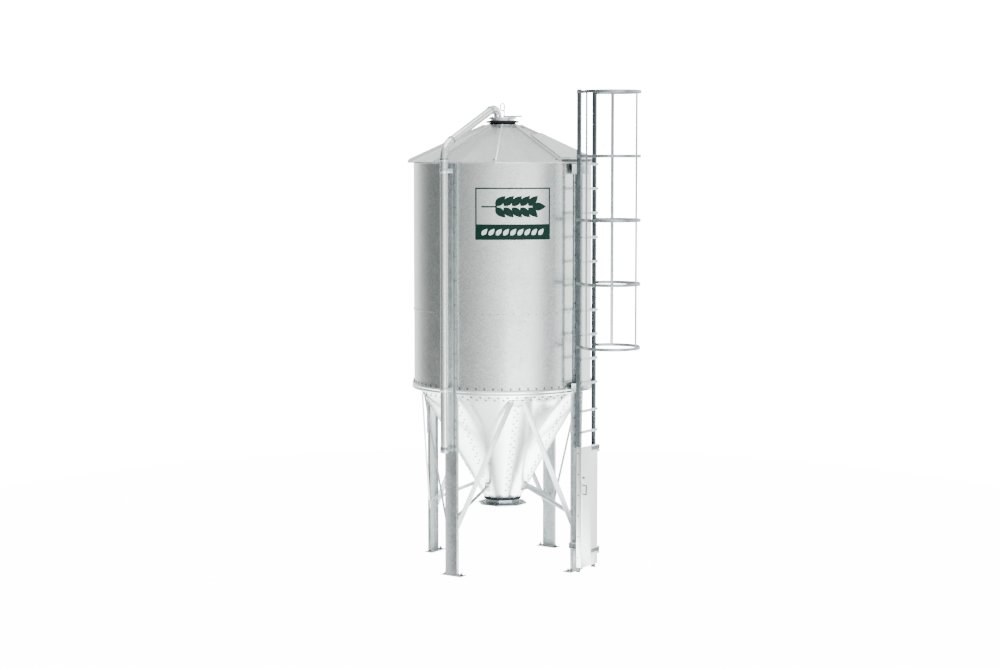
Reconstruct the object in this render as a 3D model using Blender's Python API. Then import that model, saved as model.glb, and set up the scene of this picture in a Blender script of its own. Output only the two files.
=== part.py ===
"""Galvanised grain silo on four legs, with a bolted hopper, a caged ladder and a filling pipe.

Metres, +Z up. The silo is built about its own axis and then moved, with its parent empty,
so that the middle of its footprint on the ground is the origin. Azimuth 0 points along -Y,
where the filling pipe runs, and azimuth 90 along +X, where the ladder stands.
"""
import math

import bmesh
import bpy
from mathutils import Vector
from mathutils.geometry import intersect_line_plane

# Clearances, sheet, and how deep a fused piece reaches into its base
GAP = 0.0003
SHEET = 0.005
OVERLAP = 0.003

# Shell of rolled sheets
SHELL_RADIUS = 1.0575
SHELL_BOTTOM_Z = 2.12
SHELL_SEAM_Z = 3.06
SHELL_STEP_DEG = 5.0

# Roof of folded segments
ROOF_SEGMENTS = 9
ROOF_FIRST_RIB_DEG = 70.0
EAVE_RADIUS = 1.13
EAVE_Z = 4.80
ROOF_TOP_RADIUS = 0.15
ROOF_TOP_Z = 5.25
RIB_WIDTH = 0.030
RIB_HEIGHT = 0.030
RIB_TOP_RADIUS = 0.195
RIB_END_HEIGHT = 0.001

# Ring beams at the foot of the shell
RING_BOTTOM_Z = 2.117
RING_TOP_Z = 2.220
RING_OUTER_RADIUS = 1.083
RING_GROOVE = 0.007
RING_BEAD = 0.010
RING_END_CLEARANCE = 0.002

# Hopper: a cone of 60 degrees, with a flattened triangle pressed into each eighth
HOPPER_BOTTOM_RADIUS = 0.2245
HOPPER_BOTTOM_Z = 0.80
HOPPER_SLOPE = 0.583
HOPPER_RIM_HEIGHT = 0.035
HOPPER_FLATS = 8
FLAT_APEX_Z = 1.58
FLAT_WIDEST_Z = 2.06
FLAT_HALF_DEG = 12.5
CREASE_LIMIT = 0.9

# Outlet: round where it meets the hopper, eight-sided at its flange
THROAT_ACROSS = 0.375
THROAT_WALL = 0.008
THROAT_TOP_WALL = 0.014
OUTLET_FLANGE_ACROSS = 0.55
OUTLET_FLANGE_BOTTOM_Z = 0.706
OUTLET_FLANGE_TOP_Z = 0.718

# Legs and posts
LEG_WIDTH = 0.168
LEG_DEPTH = 0.041
LEG_OUTER_RADIUS = SHELL_RADIUS
LEG_TOP_Z = 2.115
FOOT_WIDTH = 0.280
FOOT_DEPTH = 0.110
FOOT_TOE = 0.005
FOOT_THICKNESS = 0.012
POST_WIDTH = 0.120
POST_OUTER_RADIUS = 1.090
POST_FLANGE_WIDTH = 0.030
POST_BOTTOM_Z = 1.470
POST_TOP_Z = 4.785

# Braces and struts of folded angle
ANGLE_THICKNESS = 0.005
BRACE_WIDTH = 0.058
BRACE_FLANGE = 0.022
BRACE_FOOT_RADIUS = 1.0225
BRACE_FOOT_Z = 0.615
BRACE_HEAD_Z = 2.040
BRACE_HEAD_SPACING = 0.145
BRACE_TURN_DEG = 7.0
BRACE_PLATE_WIDTH = 0.215
BRACE_PLATE_THICKNESS = 0.006
BRACE_PLATE_BOTTOM_Z = 1.985
BRACE_PLATE_TOP_Z = 2.060
BRACE_PLATE_STEP_DEG = 3.0
STRUT_WIDTH = 0.040
STRUT_LEG_Z = 0.635
STRUT_HOPPER_Z = 0.940
STRUT_HOPPER_RADIUS = 0.330
GUSSET_HEIGHT = 0.130
GUSSET_THICKNESS = 0.008
GUSSET_REACH = 0.370
GUSSET_NOSE_DROP = 0.035
GUSSET_NOSE_RISE = 0.005

# Roof collar and top cover
TOP_SIDES = 36
COLLAR_RADIUS = 0.145
COLLAR_WALL = 0.010
COLLAR_BOTTOM_Z = 5.200
COLLAR_TOP_Z = 5.292
SKIRT_RADIUS = 0.188
COLLAR_FLANGE_RADIUS = 0.192
COLLAR_FLANGE_Z = (5.260, 5.286)
COVER_RADIUS = 0.165
COVER_STEP = 0.004
COVER_BEVEL = 0.006
COVER_BOTTOM_Z = 5.310
COVER_TOP_Z = 5.328
PIPE_HOLE_CLEARANCE = 0.002
LEVER_START = 0.030
LEVER_REACH = 0.275
LEVER_WIDTH = 0.024
LEVER_HEIGHT = 0.018
EYE_HALF_WIDTH = 0.031
EYE_HALF_HEIGHT = 0.044
EYE_BAR_RADIUS = 0.007
EYE_CENTRE_Z = 5.447
EYE_STEM_X = 0.024

# Filling pipe
PIPE_SIDES = 20
PIPE_RADIUS = 0.046
PIPE_WALL = 0.004
PIPE_AXIS_RADIUS = 1.180
PIPE_BOTTOM_Z = 1.460
PIPE_EAVE_CORNER_Z = 4.982
PIPE_DROP_RADIUS = 0.098
PIPE_SLOPE_DEG = 24.4
PIPE_END_Z = 5.298
PIPE_LOWER_BEND = 0.200
PIPE_UPPER_BEND = 0.095
PIPE_BEND_STEP_DEG = 12.0
COUPLING_LENGTH = 0.070
COUPLING_RADIUS = 0.052
PIPE_CLAMP_LEVELS_Z = (2.19, 4.70)
PIPE_CLAMP_HEIGHT = 0.050
PIPE_CLAMP_CLEARANCE = 0.001
PIPE_CLAMP_STEP_DEG = 12.0

# Ladder in two lengths, whose rungs have different spacing
LADDER_PLANE_X = 1.180
RAIL_DEPTH = 0.050
RAIL_WIDTH = 0.026
RAIL_SPACING = 0.334
LADDER_BOTTOM_Z = 0.030
LADDER_TOP_Z = 5.630
LOWER_RUNGS = 8
LOWEST_RUNG_Z = 0.209
LOWER_RUNG_PITCH = 0.244
UPPER_RUNGS = 10
FIRST_UPPER_RUNG_Z = 2.237
UPPER_RUNG_PITCH = 0.282
RUNG_HEIGHT = 0.030
RUNG_DEPTH = 0.020
BRACKET_LEVELS_Z = {"top": (4.660, 4.780), "middle": (2.140, 2.240), "foot": (0.300, 0.370)}

# Safety cage
HOOP_RADIUS = 0.334
HOOP_CENTRE_OUT = 0.336
HOOP_STEP_DEG = 10.0
HOOP_HEIGHT = 0.036
HOOP_COUNT = 5
LOWEST_HOOP_Z = 2.670
HOOP_PITCH = 0.7325
CAGE_BAR_WIDTH = 0.038
CAGE_BAR_CLEARANCE = 0.0008
CAGE_BAR_ANGLES_DEG = (-120.0, 0.0, 120.0)

# Guard door at the ladder's foot
GUARD_BOTTOM_Z = 0.090
GUARD_TOP_Z = 1.506
GUARD_FREE_EDGE_Y = -0.191
GUARD_HINGE_EDGE_Y = 0.172
GUARD_RETURN = 0.060
GUARD_FOLD = 0.008
GUARD_SHEET = 0.004
GUARD_OFF_RUNGS = 0.007
GRIP_Z = (0.947, 1.062)
GRIP_Y = -0.150
GRIP_BAR = 0.012
GRIP_REACH = 0.050
KNOB_Z = 1.143
KNOB_RADIUS = 0.014
KNOB_REACH = 0.018
KNOB_SIDES = 12

# Hinges of the guard door
HINGE_SIDES = 16
HINGE_PIN_Y = 0.200
HINGE_PIN_RADIUS = 0.006
HINGE_PIN_RISE = 0.006
KNUCKLE_RADIUS = 0.013
KNUCKLE_HOLE_RADIUS = 0.0068
KNUCKLE_HEIGHT = 0.052
STRAP_LENGTH = 0.150
STRAP_THICKNESS = 0.009
STRAP_INSET = 0.004
STRAP_PIN_CLEARANCE = 0.009
HINGE_PLATE_DROP = 0.030
HINGE_PLATE_HEIGHT = 0.028
HINGE_PLATE_THICKNESS = 0.006
LUG_INSET = 0.004
LUG_HALF_WIDTH = 0.010
LUG_REACH = 0.012
HINGE_LEVELS_Z = {"lower": 0.257, "upper": 1.466}

# Roof hatch on the segment that faces the ladder
HATCH_HEIGHT = 0.050
HATCH_INNER_RADIUS = 0.520
HATCH_OUTER_RADIUS = 1.120
HATCH_EDGE_INSET = 0.034
HATCH_OFF_ROOF = 0.004
HATCH_CUT_DEPTH = 0.030

# Worked out from the sizes above
ROOF_SLOPE = (ROOF_TOP_Z - EAVE_Z) / (EAVE_RADIUS - ROOF_TOP_RADIUS)
ROOF_SEGMENT_DEG = 360.0 / ROOF_SEGMENTS
HALF_FLAT_DEG = 180.0 / HOPPER_FLATS
HOPPER_RIM_RADIUS = (SHELL_RADIUS - SHEET) * math.cos(math.radians(SHELL_STEP_DEG / 2)) - GAP
HOPPER_RIM_Z = HOPPER_BOTTOM_Z + (HOPPER_RIM_RADIUS - HOPPER_BOTTOM_RADIUS) / HOPPER_SLOPE
RAIL_OUTER_Y = (RAIL_SPACING + RAIL_WIDTH) / 2
RAIL_BACK_X = LADDER_PLANE_X - RAIL_DEPTH / 2
RAIL_FRONT_X = LADDER_PLANE_X + RAIL_DEPTH / 2
RUNG_FRONT_X = RAIL_FRONT_X + RUNG_DEPTH
GUARD_BACK_X = RUNG_FRONT_X + GUARD_OFF_RUNGS
HINGE_PIN_X = GUARD_BACK_X


def polar(azimuth_deg, radius, z, aside=0.0):
    """Return the point at an azimuth and radius, moved aside along the tangent."""
    angle = math.radians(azimuth_deg)
    outward = Vector((math.sin(angle), -math.cos(angle), 0.0))
    tangent = Vector((math.cos(angle), math.sin(angle), 0.0))
    return outward * radius + tangent * aside + Vector((0.0, 0.0, z))


def turns(count):
    """Return evenly spaced angles round a full circle, in radians."""
    return [2 * math.pi * index / count for index in range(count)]


def remove_scene_objects():
    """Empty the scene that the script was started in."""
    for obj in list(bpy.data.objects):
        bpy.data.objects.remove(obj, do_unlink=True)


def make_material(name, colour, roughness):
    """Return a metal with one colour and roughness."""
    material = bpy.data.materials.new(name)
    material.use_nodes = True
    shader = material.node_tree.nodes["Principled BSDF"]
    shader.inputs["Base Color"].default_value = (*colour, 1.0)
    shader.inputs["Metallic"].default_value = 0.9
    shader.inputs["Roughness"].default_value = roughness
    return material


def make_object(name, bm, parent, material, smooth_deg=30.0):
    """Close a bmesh into a named object under the parent."""
    bmesh.ops.recalc_face_normals(bm, faces=bm.faces)
    mesh = bpy.data.meshes.new(name)
    bm.to_mesh(mesh)
    bm.free()
    mesh.shade_smooth()
    mesh.set_sharp_from_angle(angle=math.radians(smooth_deg))
    mesh.materials.append(material)
    obj = bpy.data.objects.new(name, mesh)
    bpy.context.collection.objects.link(obj)
    obj.parent = parent
    return obj


def add_loft(bm, loops, closed=False, caps=None):
    """Add a solid whose cross-sections are the loops, in order.

    The ends are closed by one face each, or by the faces whose corners the caps number.
    """
    rows = [[bm.verts.new(point) for point in loop] for loop in loops]
    pairs = list(zip(rows, rows[1:]))
    if closed:
        pairs.append((rows[-1], rows[0]))
    else:
        for corners in caps or [range(len(rows[0]))]:
            bm.faces.new([rows[0][corner] for corner in corners])
            bm.faces.new([rows[-1][corner] for corner in reversed(corners)])
    for lower, upper in pairs:
        count = len(lower)
        for index in range(count):
            following = (index + 1) % count
            bm.faces.new((lower[index], upper[index], upper[following], lower[following]))


def add_box(bm, low, high):
    """Add a box between two corners."""
    corners = [(low[0], low[1]), (high[0], low[1]), (high[0], high[1]), (low[0], high[1])]
    add_loft(bm, [[Vector((x, y, z)) for x, y in corners] for z in (low[2], high[2])])


def loft_object(name, loops, parent, material, closed=False, caps=None):
    """Make one object from a single loft."""
    bm = bmesh.new()
    add_loft(bm, loops, closed, caps)
    return make_object(name, bm, parent, material)


def fuse(base, guide, operation="UNION"):
    """Join a guide's solids to the base with a Boolean, or cut them out of it."""
    guide.hide_render = True
    guide.display_type = "WIRE"
    modifier = base.modifiers.new(guide.name, "BOOLEAN")
    modifier.operation = operation
    modifier.solver = "EXACT"
    modifier.object = guide


def circle(radius, z, sides, centre=(0.0, 0.0)):
    """Return a level circle of points."""
    return [Vector((centre[0] + radius * math.cos(turn), centre[1] + radius * math.sin(turn), z))
            for turn in turns(sides)]


def arc_degrees(start, end, step):
    """Return azimuths from start to end in even steps."""
    count = max(1, round((end - start) / step))
    return [start + (end - start) * index / count for index in range(count + 1)]


def turned_profile(profile, azimuths, end_gap=0.0):
    """Return cross-sections of a radial profile at the azimuths, its ends drawn in by a gap."""
    asides = {azimuths[0]: end_gap, azimuths[-1]: -end_gap}
    return [[polar(azimuth, radius, z, asides.get(azimuth, 0.0)) for radius, z in profile]
            for azimuth in azimuths]


def roof_z(vertex_radius):
    """Return the height of the roof's outer skin above a fold, at a radius."""
    return EAVE_Z + (EAVE_RADIUS - vertex_radius) * ROOF_SLOPE


def shell_top_z():
    """Return the height at which the shell's rim meets the middle of a roof flat."""
    fold_radius = SHELL_RADIUS / math.cos(math.radians(ROOF_SEGMENT_DEG / 4))
    return roof_z(fold_radius) - SHEET - GAP


def build_shell(parent, material):
    """A low and a tall course of rolled sheet, each of two half rings."""
    levels = (SHELL_BOTTOM_Z, SHELL_SEAM_Z, shell_top_z())
    for name, low, high in zip(("lower", "upper"), levels, levels[1:]):
        profile = [(SHELL_RADIUS - SHEET, low + GAP), (SHELL_RADIUS, low + GAP),
                   (SHELL_RADIUS, high), (SHELL_RADIUS - SHEET, high)]
        for side, start in (("front", -45.0), ("back", 135.0)):
            azimuths = arc_degrees(start, start + 180.0, SHELL_STEP_DEG)
            loft_object(f"shell_{name}_{side}", turned_profile(profile, azimuths, GAP / 2),
                        parent, material)


def build_ring(parent, material):
    """Four rolled ring beams with two beads, one between each two posts."""
    middle = (RING_BOTTOM_Z + RING_TOP_Z) / 2
    inner = SHELL_RADIUS + GAP
    bead = RING_OUTER_RADIUS
    groove = RING_OUTER_RADIUS - RING_GROOVE
    profile = [(inner, RING_BOTTOM_Z), (groove, RING_BOTTOM_Z), (bead, RING_BOTTOM_Z + RING_BEAD),
               (bead, middle - RING_BEAD), (groove, middle), (bead, middle + RING_BEAD),
               (bead, RING_TOP_Z - RING_BEAD), (groove, RING_TOP_Z), (inner, RING_TOP_Z)]
    half_post = POST_WIDTH / 2 + POST_FLANGE_WIDTH + RING_END_CLEARANCE
    half_post_deg = math.degrees(half_post / SHELL_RADIUS)
    for number in range(4):
        start = 90.0 * number
        azimuths = [start + half_post_deg, *arc_degrees(start + 10.0, start + 80.0, SHELL_STEP_DEG),
                    start + 90.0 - half_post_deg]
        loft_object(f"ring_beam_{number + 1}", turned_profile(profile, azimuths), parent, material)


def cone_radius(z):
    """Return the outer radius of the hopper's cone and of the rim above it."""
    return min(HOPPER_RIM_RADIUS, HOPPER_BOTTOM_RADIUS + (z - HOPPER_BOTTOM_Z) * HOPPER_SLOPE)


def flat_half_deg(z):
    """Return half the angle that a pressed flat spans at a height."""
    rising = (z - FLAT_APEX_Z) / (FLAT_WIDEST_Z - FLAT_APEX_Z)
    falling = (HOPPER_RIM_Z - z) / (HOPPER_RIM_Z - FLAT_WIDEST_Z)
    return FLAT_HALF_DEG * max(0.0, min(rising, falling, 1.0))


def hopper_radius(from_ridge_deg, z):
    """Return the hopper's outer radius at an angle from the nearest ridge."""
    half_flat = flat_half_deg(z)
    from_middle = HALF_FLAT_DEG - from_ridge_deg
    if abs(from_middle) >= half_flat:
        return cone_radius(z)
    return cone_radius(z) * math.cos(math.radians(half_flat)) / math.cos(math.radians(from_middle))


def crease_deg(z):
    """Return the angle from the ridge at which the cone turns into the flat."""
    return HALF_FLAT_DEG - max(flat_half_deg(z), HALF_FLAT_DEG * (1.0 - CREASE_LIMIT))


def hopper_columns(number):
    """Return each column of a hopper panel: its ridge, the side of it, and its share of the crease.

    A share of None is the middle of the flat.
    """
    columns = []
    for eighth in (2 * number, 2 * number + 1):
        columns += [(eighth, 1, 0.0), (eighth, 1, 0.5), (eighth, 1, 1.0), (eighth, 1, None),
                    (eighth + 1, -1, 1.0), (eighth + 1, -1, 0.5)]
    return [*columns, (2 * number + 2, 1, 0.0)]


def build_hopper(parent, material):
    """Four hopper panels with a pressed flat in each eighth, and a round rim inside the shell."""
    levels = [HOPPER_BOTTOM_Z + GAP, 1.20, *arc_degrees(FLAT_APEX_Z, FLAT_WIDEST_Z, 0.12), 2.115,
              HOPPER_RIM_Z, HOPPER_RIM_Z + HOPPER_RIM_HEIGHT]
    wall = SHEET / math.cos(math.atan(HOPPER_SLOPE))
    for number in range(4):
        columns = hopper_columns(number)
        asides = {0: GAP / 2, len(columns) - 1: -GAP / 2}
        loops = []
        for place, (ridge, side, share) in enumerate(columns):
            outer = []
            inner = []
            for z in levels:
                offset = HALF_FLAT_DEG if share is None else crease_deg(z) * share
                azimuth = 2 * HALF_FLAT_DEG * ridge + side * offset
                radius = hopper_radius(offset, z)
                aside = asides.get(place, 0.0)
                outer.append(polar(azimuth, radius, z, aside))
                inner.append(polar(azimuth, radius - wall, z, aside))
            loops.append(outer + list(reversed(inner)))
        loft_object(f"hopper_panel_{number + 1}", loops, parent, material)


def octagon_radius(azimuth_deg, across):
    """Return the radius of an octagon, measured across its flats, at an azimuth."""
    from_flat = (azimuth_deg + 22.5) % 45.0 - 22.5
    return across / 2 / math.cos(math.radians(from_flat))


def build_outlet(parent, material):
    """The throat under the hopper with its eight-sided flange plate."""
    loops = []
    for azimuth in arc_degrees(0.0, 360.0, 11.25)[:-1]:
        plate = octagon_radius(azimuth, OUTLET_FLANGE_ACROSS)
        throat = octagon_radius(azimuth, THROAT_ACROSS)
        bore = octagon_radius(azimuth, THROAT_ACROSS - 2 * THROAT_WALL)
        profile = [(bore, OUTLET_FLANGE_BOTTOM_Z), (plate, OUTLET_FLANGE_BOTTOM_Z),
                   (plate, OUTLET_FLANGE_TOP_Z), (throat, OUTLET_FLANGE_TOP_Z),
                   (HOPPER_BOTTOM_RADIUS, HOPPER_BOTTOM_Z),
                   (HOPPER_BOTTOM_RADIUS - THROAT_TOP_WALL, HOPPER_BOTTOM_Z)]
        loops.append([polar(azimuth, radius, z) for radius, z in profile])
    loft_object("outlet_flange", loops, parent, material, closed=True)


def channel_loops(azimuth, half_width, outer, inner, low, high, wall=SHEET):
    """Return the level sections of an upright channel whose web faces outward."""
    outline = [(-half_width, inner), (-half_width, outer), (half_width, outer), (half_width, inner),
               (half_width - wall, inner), (half_width - wall, outer - wall),
               (-half_width + wall, outer - wall), (-half_width + wall, inner)]
    return [[polar(azimuth, radius, z, aside) for aside, radius in outline] for z in (low, high)]


def add_upright_box(bm, azimuth, aside_range, radius_range, z_range):
    """Add a box that is square to an azimuth."""
    outline = [(aside_range[0], radius_range[0]), (aside_range[0], radius_range[1]),
               (aside_range[1], radius_range[1]), (aside_range[1], radius_range[0])]
    add_loft(bm, [[polar(azimuth, radius, z, aside) for aside, radius in outline] for z in z_range])


def build_legs(parent, material):
    """Four folded legs on foot plates, and the posts that carry them up the shell."""
    for number in range(4):
        azimuth = 90.0 * number
        leg = loft_object(f"leg_{number + 1}",
                          channel_loops(azimuth, LEG_WIDTH / 2, LEG_OUTER_RADIUS,
                                        LEG_OUTER_RADIUS - LEG_DEPTH, FOOT_THICKNESS / 2, LEG_TOP_Z),
                          parent, material)
        foot_bm = bmesh.new()
        toe = LEG_OUTER_RADIUS + FOOT_TOE
        add_upright_box(foot_bm, azimuth, (-FOOT_WIDTH / 2, FOOT_WIDTH / 2),
                        (toe - FOOT_DEPTH, toe), (0.0, FOOT_THICKNESS))
        fuse(leg, make_object(f"leg_{number + 1}_foot_guide", foot_bm, parent, material))

        back = SHELL_RADIUS + GAP
        post = loft_object(f"post_{number + 1}",
                           channel_loops(azimuth, POST_WIDTH / 2, POST_OUTER_RADIUS, back,
                                         POST_BOTTOM_Z, POST_TOP_Z), parent, material)
        flange_bm = bmesh.new()
        for side in (-1, 1):
            span = sorted((side * (POST_WIDTH / 2 - OVERLAP), side * (POST_WIDTH / 2 + POST_FLANGE_WIDTH)))
            add_upright_box(flange_bm, azimuth, span, (back, back + SHEET),
                            (POST_BOTTOM_Z + OVERLAP, POST_TOP_Z - OVERLAP))
        fuse(post, make_object(f"post_{number + 1}_flange_guide", flange_bm, parent, material))


def add_angle_bar(bm, start, end, outward, cut_normals, width, flange, side=1):
    """Add a folded angle between two points, cut to the plane at each end.

    One wall faces outward, and the other stands out from one edge of it.
    """
    along = (end - start).normalized()
    out = (outward - along * outward.dot(along)).normalized()
    across = along.cross(out) * side
    half = width / 2
    outline = [(-half, 0.0), (half, 0.0), (half, flange), (half - ANGLE_THICKNESS, flange),
               (half - ANGLE_THICKNESS, ANGLE_THICKNESS), (-half, ANGLE_THICKNESS)]
    loops = []
    for place, normal in zip((start, end), cut_normals):
        loop = []
        for wide, deep in outline:
            point = start + across * wide + out * deep
            loop.append(intersect_line_plane(point, point + along, place, normal))
        loops.append(loop)
    add_loft(bm, loops)


def brace_plate_radius(z):
    """Return the inner radius of the plate that lies on the hopper's ridge."""
    return cone_radius(z) / math.cos(math.radians(BRACE_PLATE_STEP_DEG / 2)) + 2 * GAP


def build_braces(parent, material):
    """On each side a pair of braces that rise from the legs to one plate on the hopper's ridge."""
    up = Vector((0.0, 0.0, 1.0))
    half_deg = math.degrees(BRACE_PLATE_WIDTH / 2 / brace_plate_radius(BRACE_HEAD_Z))
    head_radius = brace_plate_radius(BRACE_HEAD_Z) + OVERLAP
    head_deg = math.degrees(BRACE_HEAD_SPACING / 2 / head_radius)
    low_radius = brace_plate_radius(BRACE_PLATE_BOTTOM_Z)
    high_radius = brace_plate_radius(BRACE_PLATE_TOP_Z)
    profile = [(low_radius, BRACE_PLATE_BOTTOM_Z),
               (low_radius + BRACE_PLATE_THICKNESS, BRACE_PLATE_BOTTOM_Z),
               (high_radius + BRACE_PLATE_THICKNESS, BRACE_PLATE_TOP_Z),
               (high_radius, BRACE_PLATE_TOP_Z)]
    for number in range(4):
        middle = 90.0 * number + 45.0
        azimuths = arc_degrees(middle - half_deg, middle + half_deg, BRACE_PLATE_STEP_DEG)
        plate = loft_object(f"brace_pair_{number + 1}", turned_profile(profile, azimuths),
                            parent, material)
        bars_bm = bmesh.new()
        for turn in (-1, 1):
            leg_azimuth = middle + 45.0 * turn
            leg_side = -turn * (LEG_WIDTH / 2 + GAP)
            foot = polar(leg_azimuth, BRACE_FOOT_RADIUS, BRACE_FOOT_Z, leg_side)
            head = polar(middle + turn * head_deg, head_radius, BRACE_HEAD_Z)
            leg_normal = polar(leg_azimuth, 0.0, 0.0, 1.0)
            outward = polar(middle + BRACE_TURN_DEG * turn, 1.0, 0.0)
            add_angle_bar(bars_bm, foot, head, outward, (leg_normal, up),
                          BRACE_WIDTH, BRACE_FLANGE, side=turn)
        fuse(plate, make_object(f"brace_pair_{number + 1}_bar_guide", bars_bm, parent, material))


def build_struts(parent, material):
    """A strut from each leg to a gusset on the hopper's ridge."""
    low, high = STRUT_HOPPER_Z - GUSSET_HEIGHT / 2, STRUT_HOPPER_Z + GUSSET_HEIGHT / 2
    outline = [(cone_radius(low) + 2 * GAP, low), (GUSSET_REACH, STRUT_HOPPER_Z - GUSSET_NOSE_DROP),
               (GUSSET_REACH, STRUT_HOPPER_Z + GUSSET_NOSE_RISE), (cone_radius(high) + 2 * GAP, high)]
    half = GUSSET_THICKNESS / 2
    for number in range(4):
        azimuth = 90.0 * number
        loops = [[polar(azimuth, radius, z, aside) for radius, z in outline] for aside in (-half, half)]
        gusset = loft_object(f"hopper_strut_{number + 1}", loops, parent, material)
        bar_bm = bmesh.new()
        start = polar(azimuth, LEG_OUTER_RADIUS - SHEET - GAP, STRUT_LEG_Z)
        end = polar(azimuth, STRUT_HOPPER_RADIUS, STRUT_HOPPER_Z)
        radial = polar(azimuth, 1.0, 0.0)
        aside = polar(azimuth, 0.0, 0.0, 1.0)
        add_angle_bar(bar_bm, start, end, aside, (radial, radial), STRUT_WIDTH, STRUT_WIDTH, side=-1)
        fuse(gusset, make_object(f"hopper_strut_{number + 1}_bar_guide", bar_bm, parent, material))


def roof_section(first, radius, rib_height):
    """Return a roof segment's cross-section at a radius, with its rib on the first edge."""
    half = ROOF_SEGMENT_DEG / 2
    last = first + ROOF_SEGMENT_DEG
    edge = GAP / 2
    top = roof_z(radius)
    rib_deg = math.degrees(math.atan(RIB_WIDTH / radius))
    flat_middle = math.radians(half / 2)
    rib_foot = radius * math.cos(flat_middle) / math.cos(math.radians(rib_deg) - flat_middle)
    return [polar(first, radius, top - SHEET, edge),
            polar(first + half, radius, top - SHEET),
            polar(last, radius, top - SHEET, -edge),
            polar(last, radius, top, -edge),
            polar(first + half, radius, top),
            polar(first + rib_deg, rib_foot, top),
            polar(first + rib_deg, rib_foot, top + rib_height),
            polar(first, radius, top + rib_height, edge)]


def build_roof(parent, material):
    """Nine folded roof segments, each with a raised rib along its first edge."""
    for number in range(ROOF_SEGMENTS):
        first = ROOF_FIRST_RIB_DEG + ROOF_SEGMENT_DEG * number
        loops = [roof_section(first, EAVE_RADIUS, RIB_HEIGHT),
                 roof_section(first, RIB_TOP_RADIUS + RIB_HEIGHT, RIB_HEIGHT),
                 roof_section(first, RIB_TOP_RADIUS, RIB_END_HEIGHT),
                 roof_section(first, ROOF_TOP_RADIUS, RIB_END_HEIGHT)]
        loft_object(f"roof_segment_{number + 1}", loops, parent, material,
                    caps=[(0, 1, 4, 5, 6, 7), (1, 2, 3, 4)])


def build_collar(parent, material):
    """The roof's collar with its weather skirt and the flange under the cover."""
    skirt_low = roof_z(SKIRT_RADIUS) + RIB_END_HEIGHT + GAP
    skirt_high = roof_z(COLLAR_RADIUS) + RIB_END_HEIGHT + GAP
    flange_low, flange_high = COLLAR_FLANGE_Z
    profile = [(COLLAR_RADIUS - COLLAR_WALL, COLLAR_BOTTOM_Z), (COLLAR_RADIUS, COLLAR_BOTTOM_Z),
               (COLLAR_RADIUS, skirt_high), (SKIRT_RADIUS, skirt_low),
               (SKIRT_RADIUS, skirt_low + SHEET), (COLLAR_RADIUS, skirt_high + SHEET),
               (COLLAR_RADIUS, flange_low), (COLLAR_FLANGE_RADIUS, flange_low),
               (COLLAR_FLANGE_RADIUS, flange_high), (COLLAR_RADIUS, flange_high),
               (COLLAR_RADIUS, COLLAR_TOP_Z), (COLLAR_RADIUS - COLLAR_WALL, COLLAR_TOP_Z)]
    azimuths = arc_degrees(0.0, 360.0, 360.0 / TOP_SIDES)[:-1]
    loft_object("roof_collar", turned_profile(profile, azimuths), parent, material, closed=True)


def eye_ring_loops():
    """Return sections round the lifting eye, an upright oval ring."""
    loops = []
    for turn in turns(16):
        centre = Vector((EYE_HALF_WIDTH * math.cos(turn), 0.0,
                         EYE_CENTRE_Z + EYE_HALF_HEIGHT * math.sin(turn)))
        outward = Vector((math.cos(turn) / EYE_HALF_WIDTH, 0.0,
                          math.sin(turn) / EYE_HALF_HEIGHT)).normalized()
        sideways = Vector((0.0, 1.0, 0.0))
        loops.append([centre + (outward * math.cos(around) + sideways * math.sin(around)) * EYE_BAR_RADIUS
                      for around in turns(8)])
    return loops


def build_cover(parent, material):
    """The top cover with the pipe's hole, its lever and its lifting eye."""
    rows = [circle(COLLAR_RADIUS - COVER_STEP, COLLAR_TOP_Z + GAP, TOP_SIDES),
            circle(COLLAR_RADIUS - COVER_STEP, COVER_BOTTOM_Z, TOP_SIDES),
            circle(COVER_RADIUS, COVER_BOTTOM_Z, TOP_SIDES),
            circle(COVER_RADIUS, COVER_TOP_Z - COVER_BEVEL, TOP_SIDES),
            circle(COVER_RADIUS - 2 * COVER_BEVEL, COVER_TOP_Z, TOP_SIDES)]
    cover = loft_object("top_cover", rows, parent, material)

    hole_bm = bmesh.new()
    add_loft(hole_bm, [circle(PIPE_RADIUS + PIPE_HOLE_CLEARANCE, z, TOP_SIDES, (0.0, -PIPE_DROP_RADIUS))
                       for z in (COLLAR_BOTTOM_Z, EYE_CENTRE_Z)])
    fuse(cover, make_object("top_cover_pipe_hole_cutter", hole_bm, parent, material), "DIFFERENCE")

    lever_bm = bmesh.new()
    add_box(lever_bm, (LEVER_START, -LEVER_WIDTH / 2, COVER_TOP_Z - OVERLAP),
            (LEVER_REACH, LEVER_WIDTH / 2, COVER_TOP_Z + LEVER_HEIGHT))
    fuse(cover, make_object("top_cover_lever_guide", lever_bm, parent, material))

    stem_drop = EYE_HALF_HEIGHT * math.sqrt(1.0 - (EYE_STEM_X / EYE_HALF_WIDTH) ** 2)
    stem_bm = bmesh.new()
    add_loft(stem_bm, [circle(EYE_BAR_RADIUS, z, 10, (EYE_STEM_X, 0.0))
                       for z in (COVER_TOP_Z - OVERLAP, EYE_CENTRE_Z - stem_drop)])
    fuse(cover, make_object("top_cover_stem_guide", stem_bm, parent, material))

    ring_bm = bmesh.new()
    add_loft(ring_bm, eye_ring_loops(), closed=True)
    fuse(cover, make_object("top_cover_eye_guide", ring_bm, parent, material))


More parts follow.
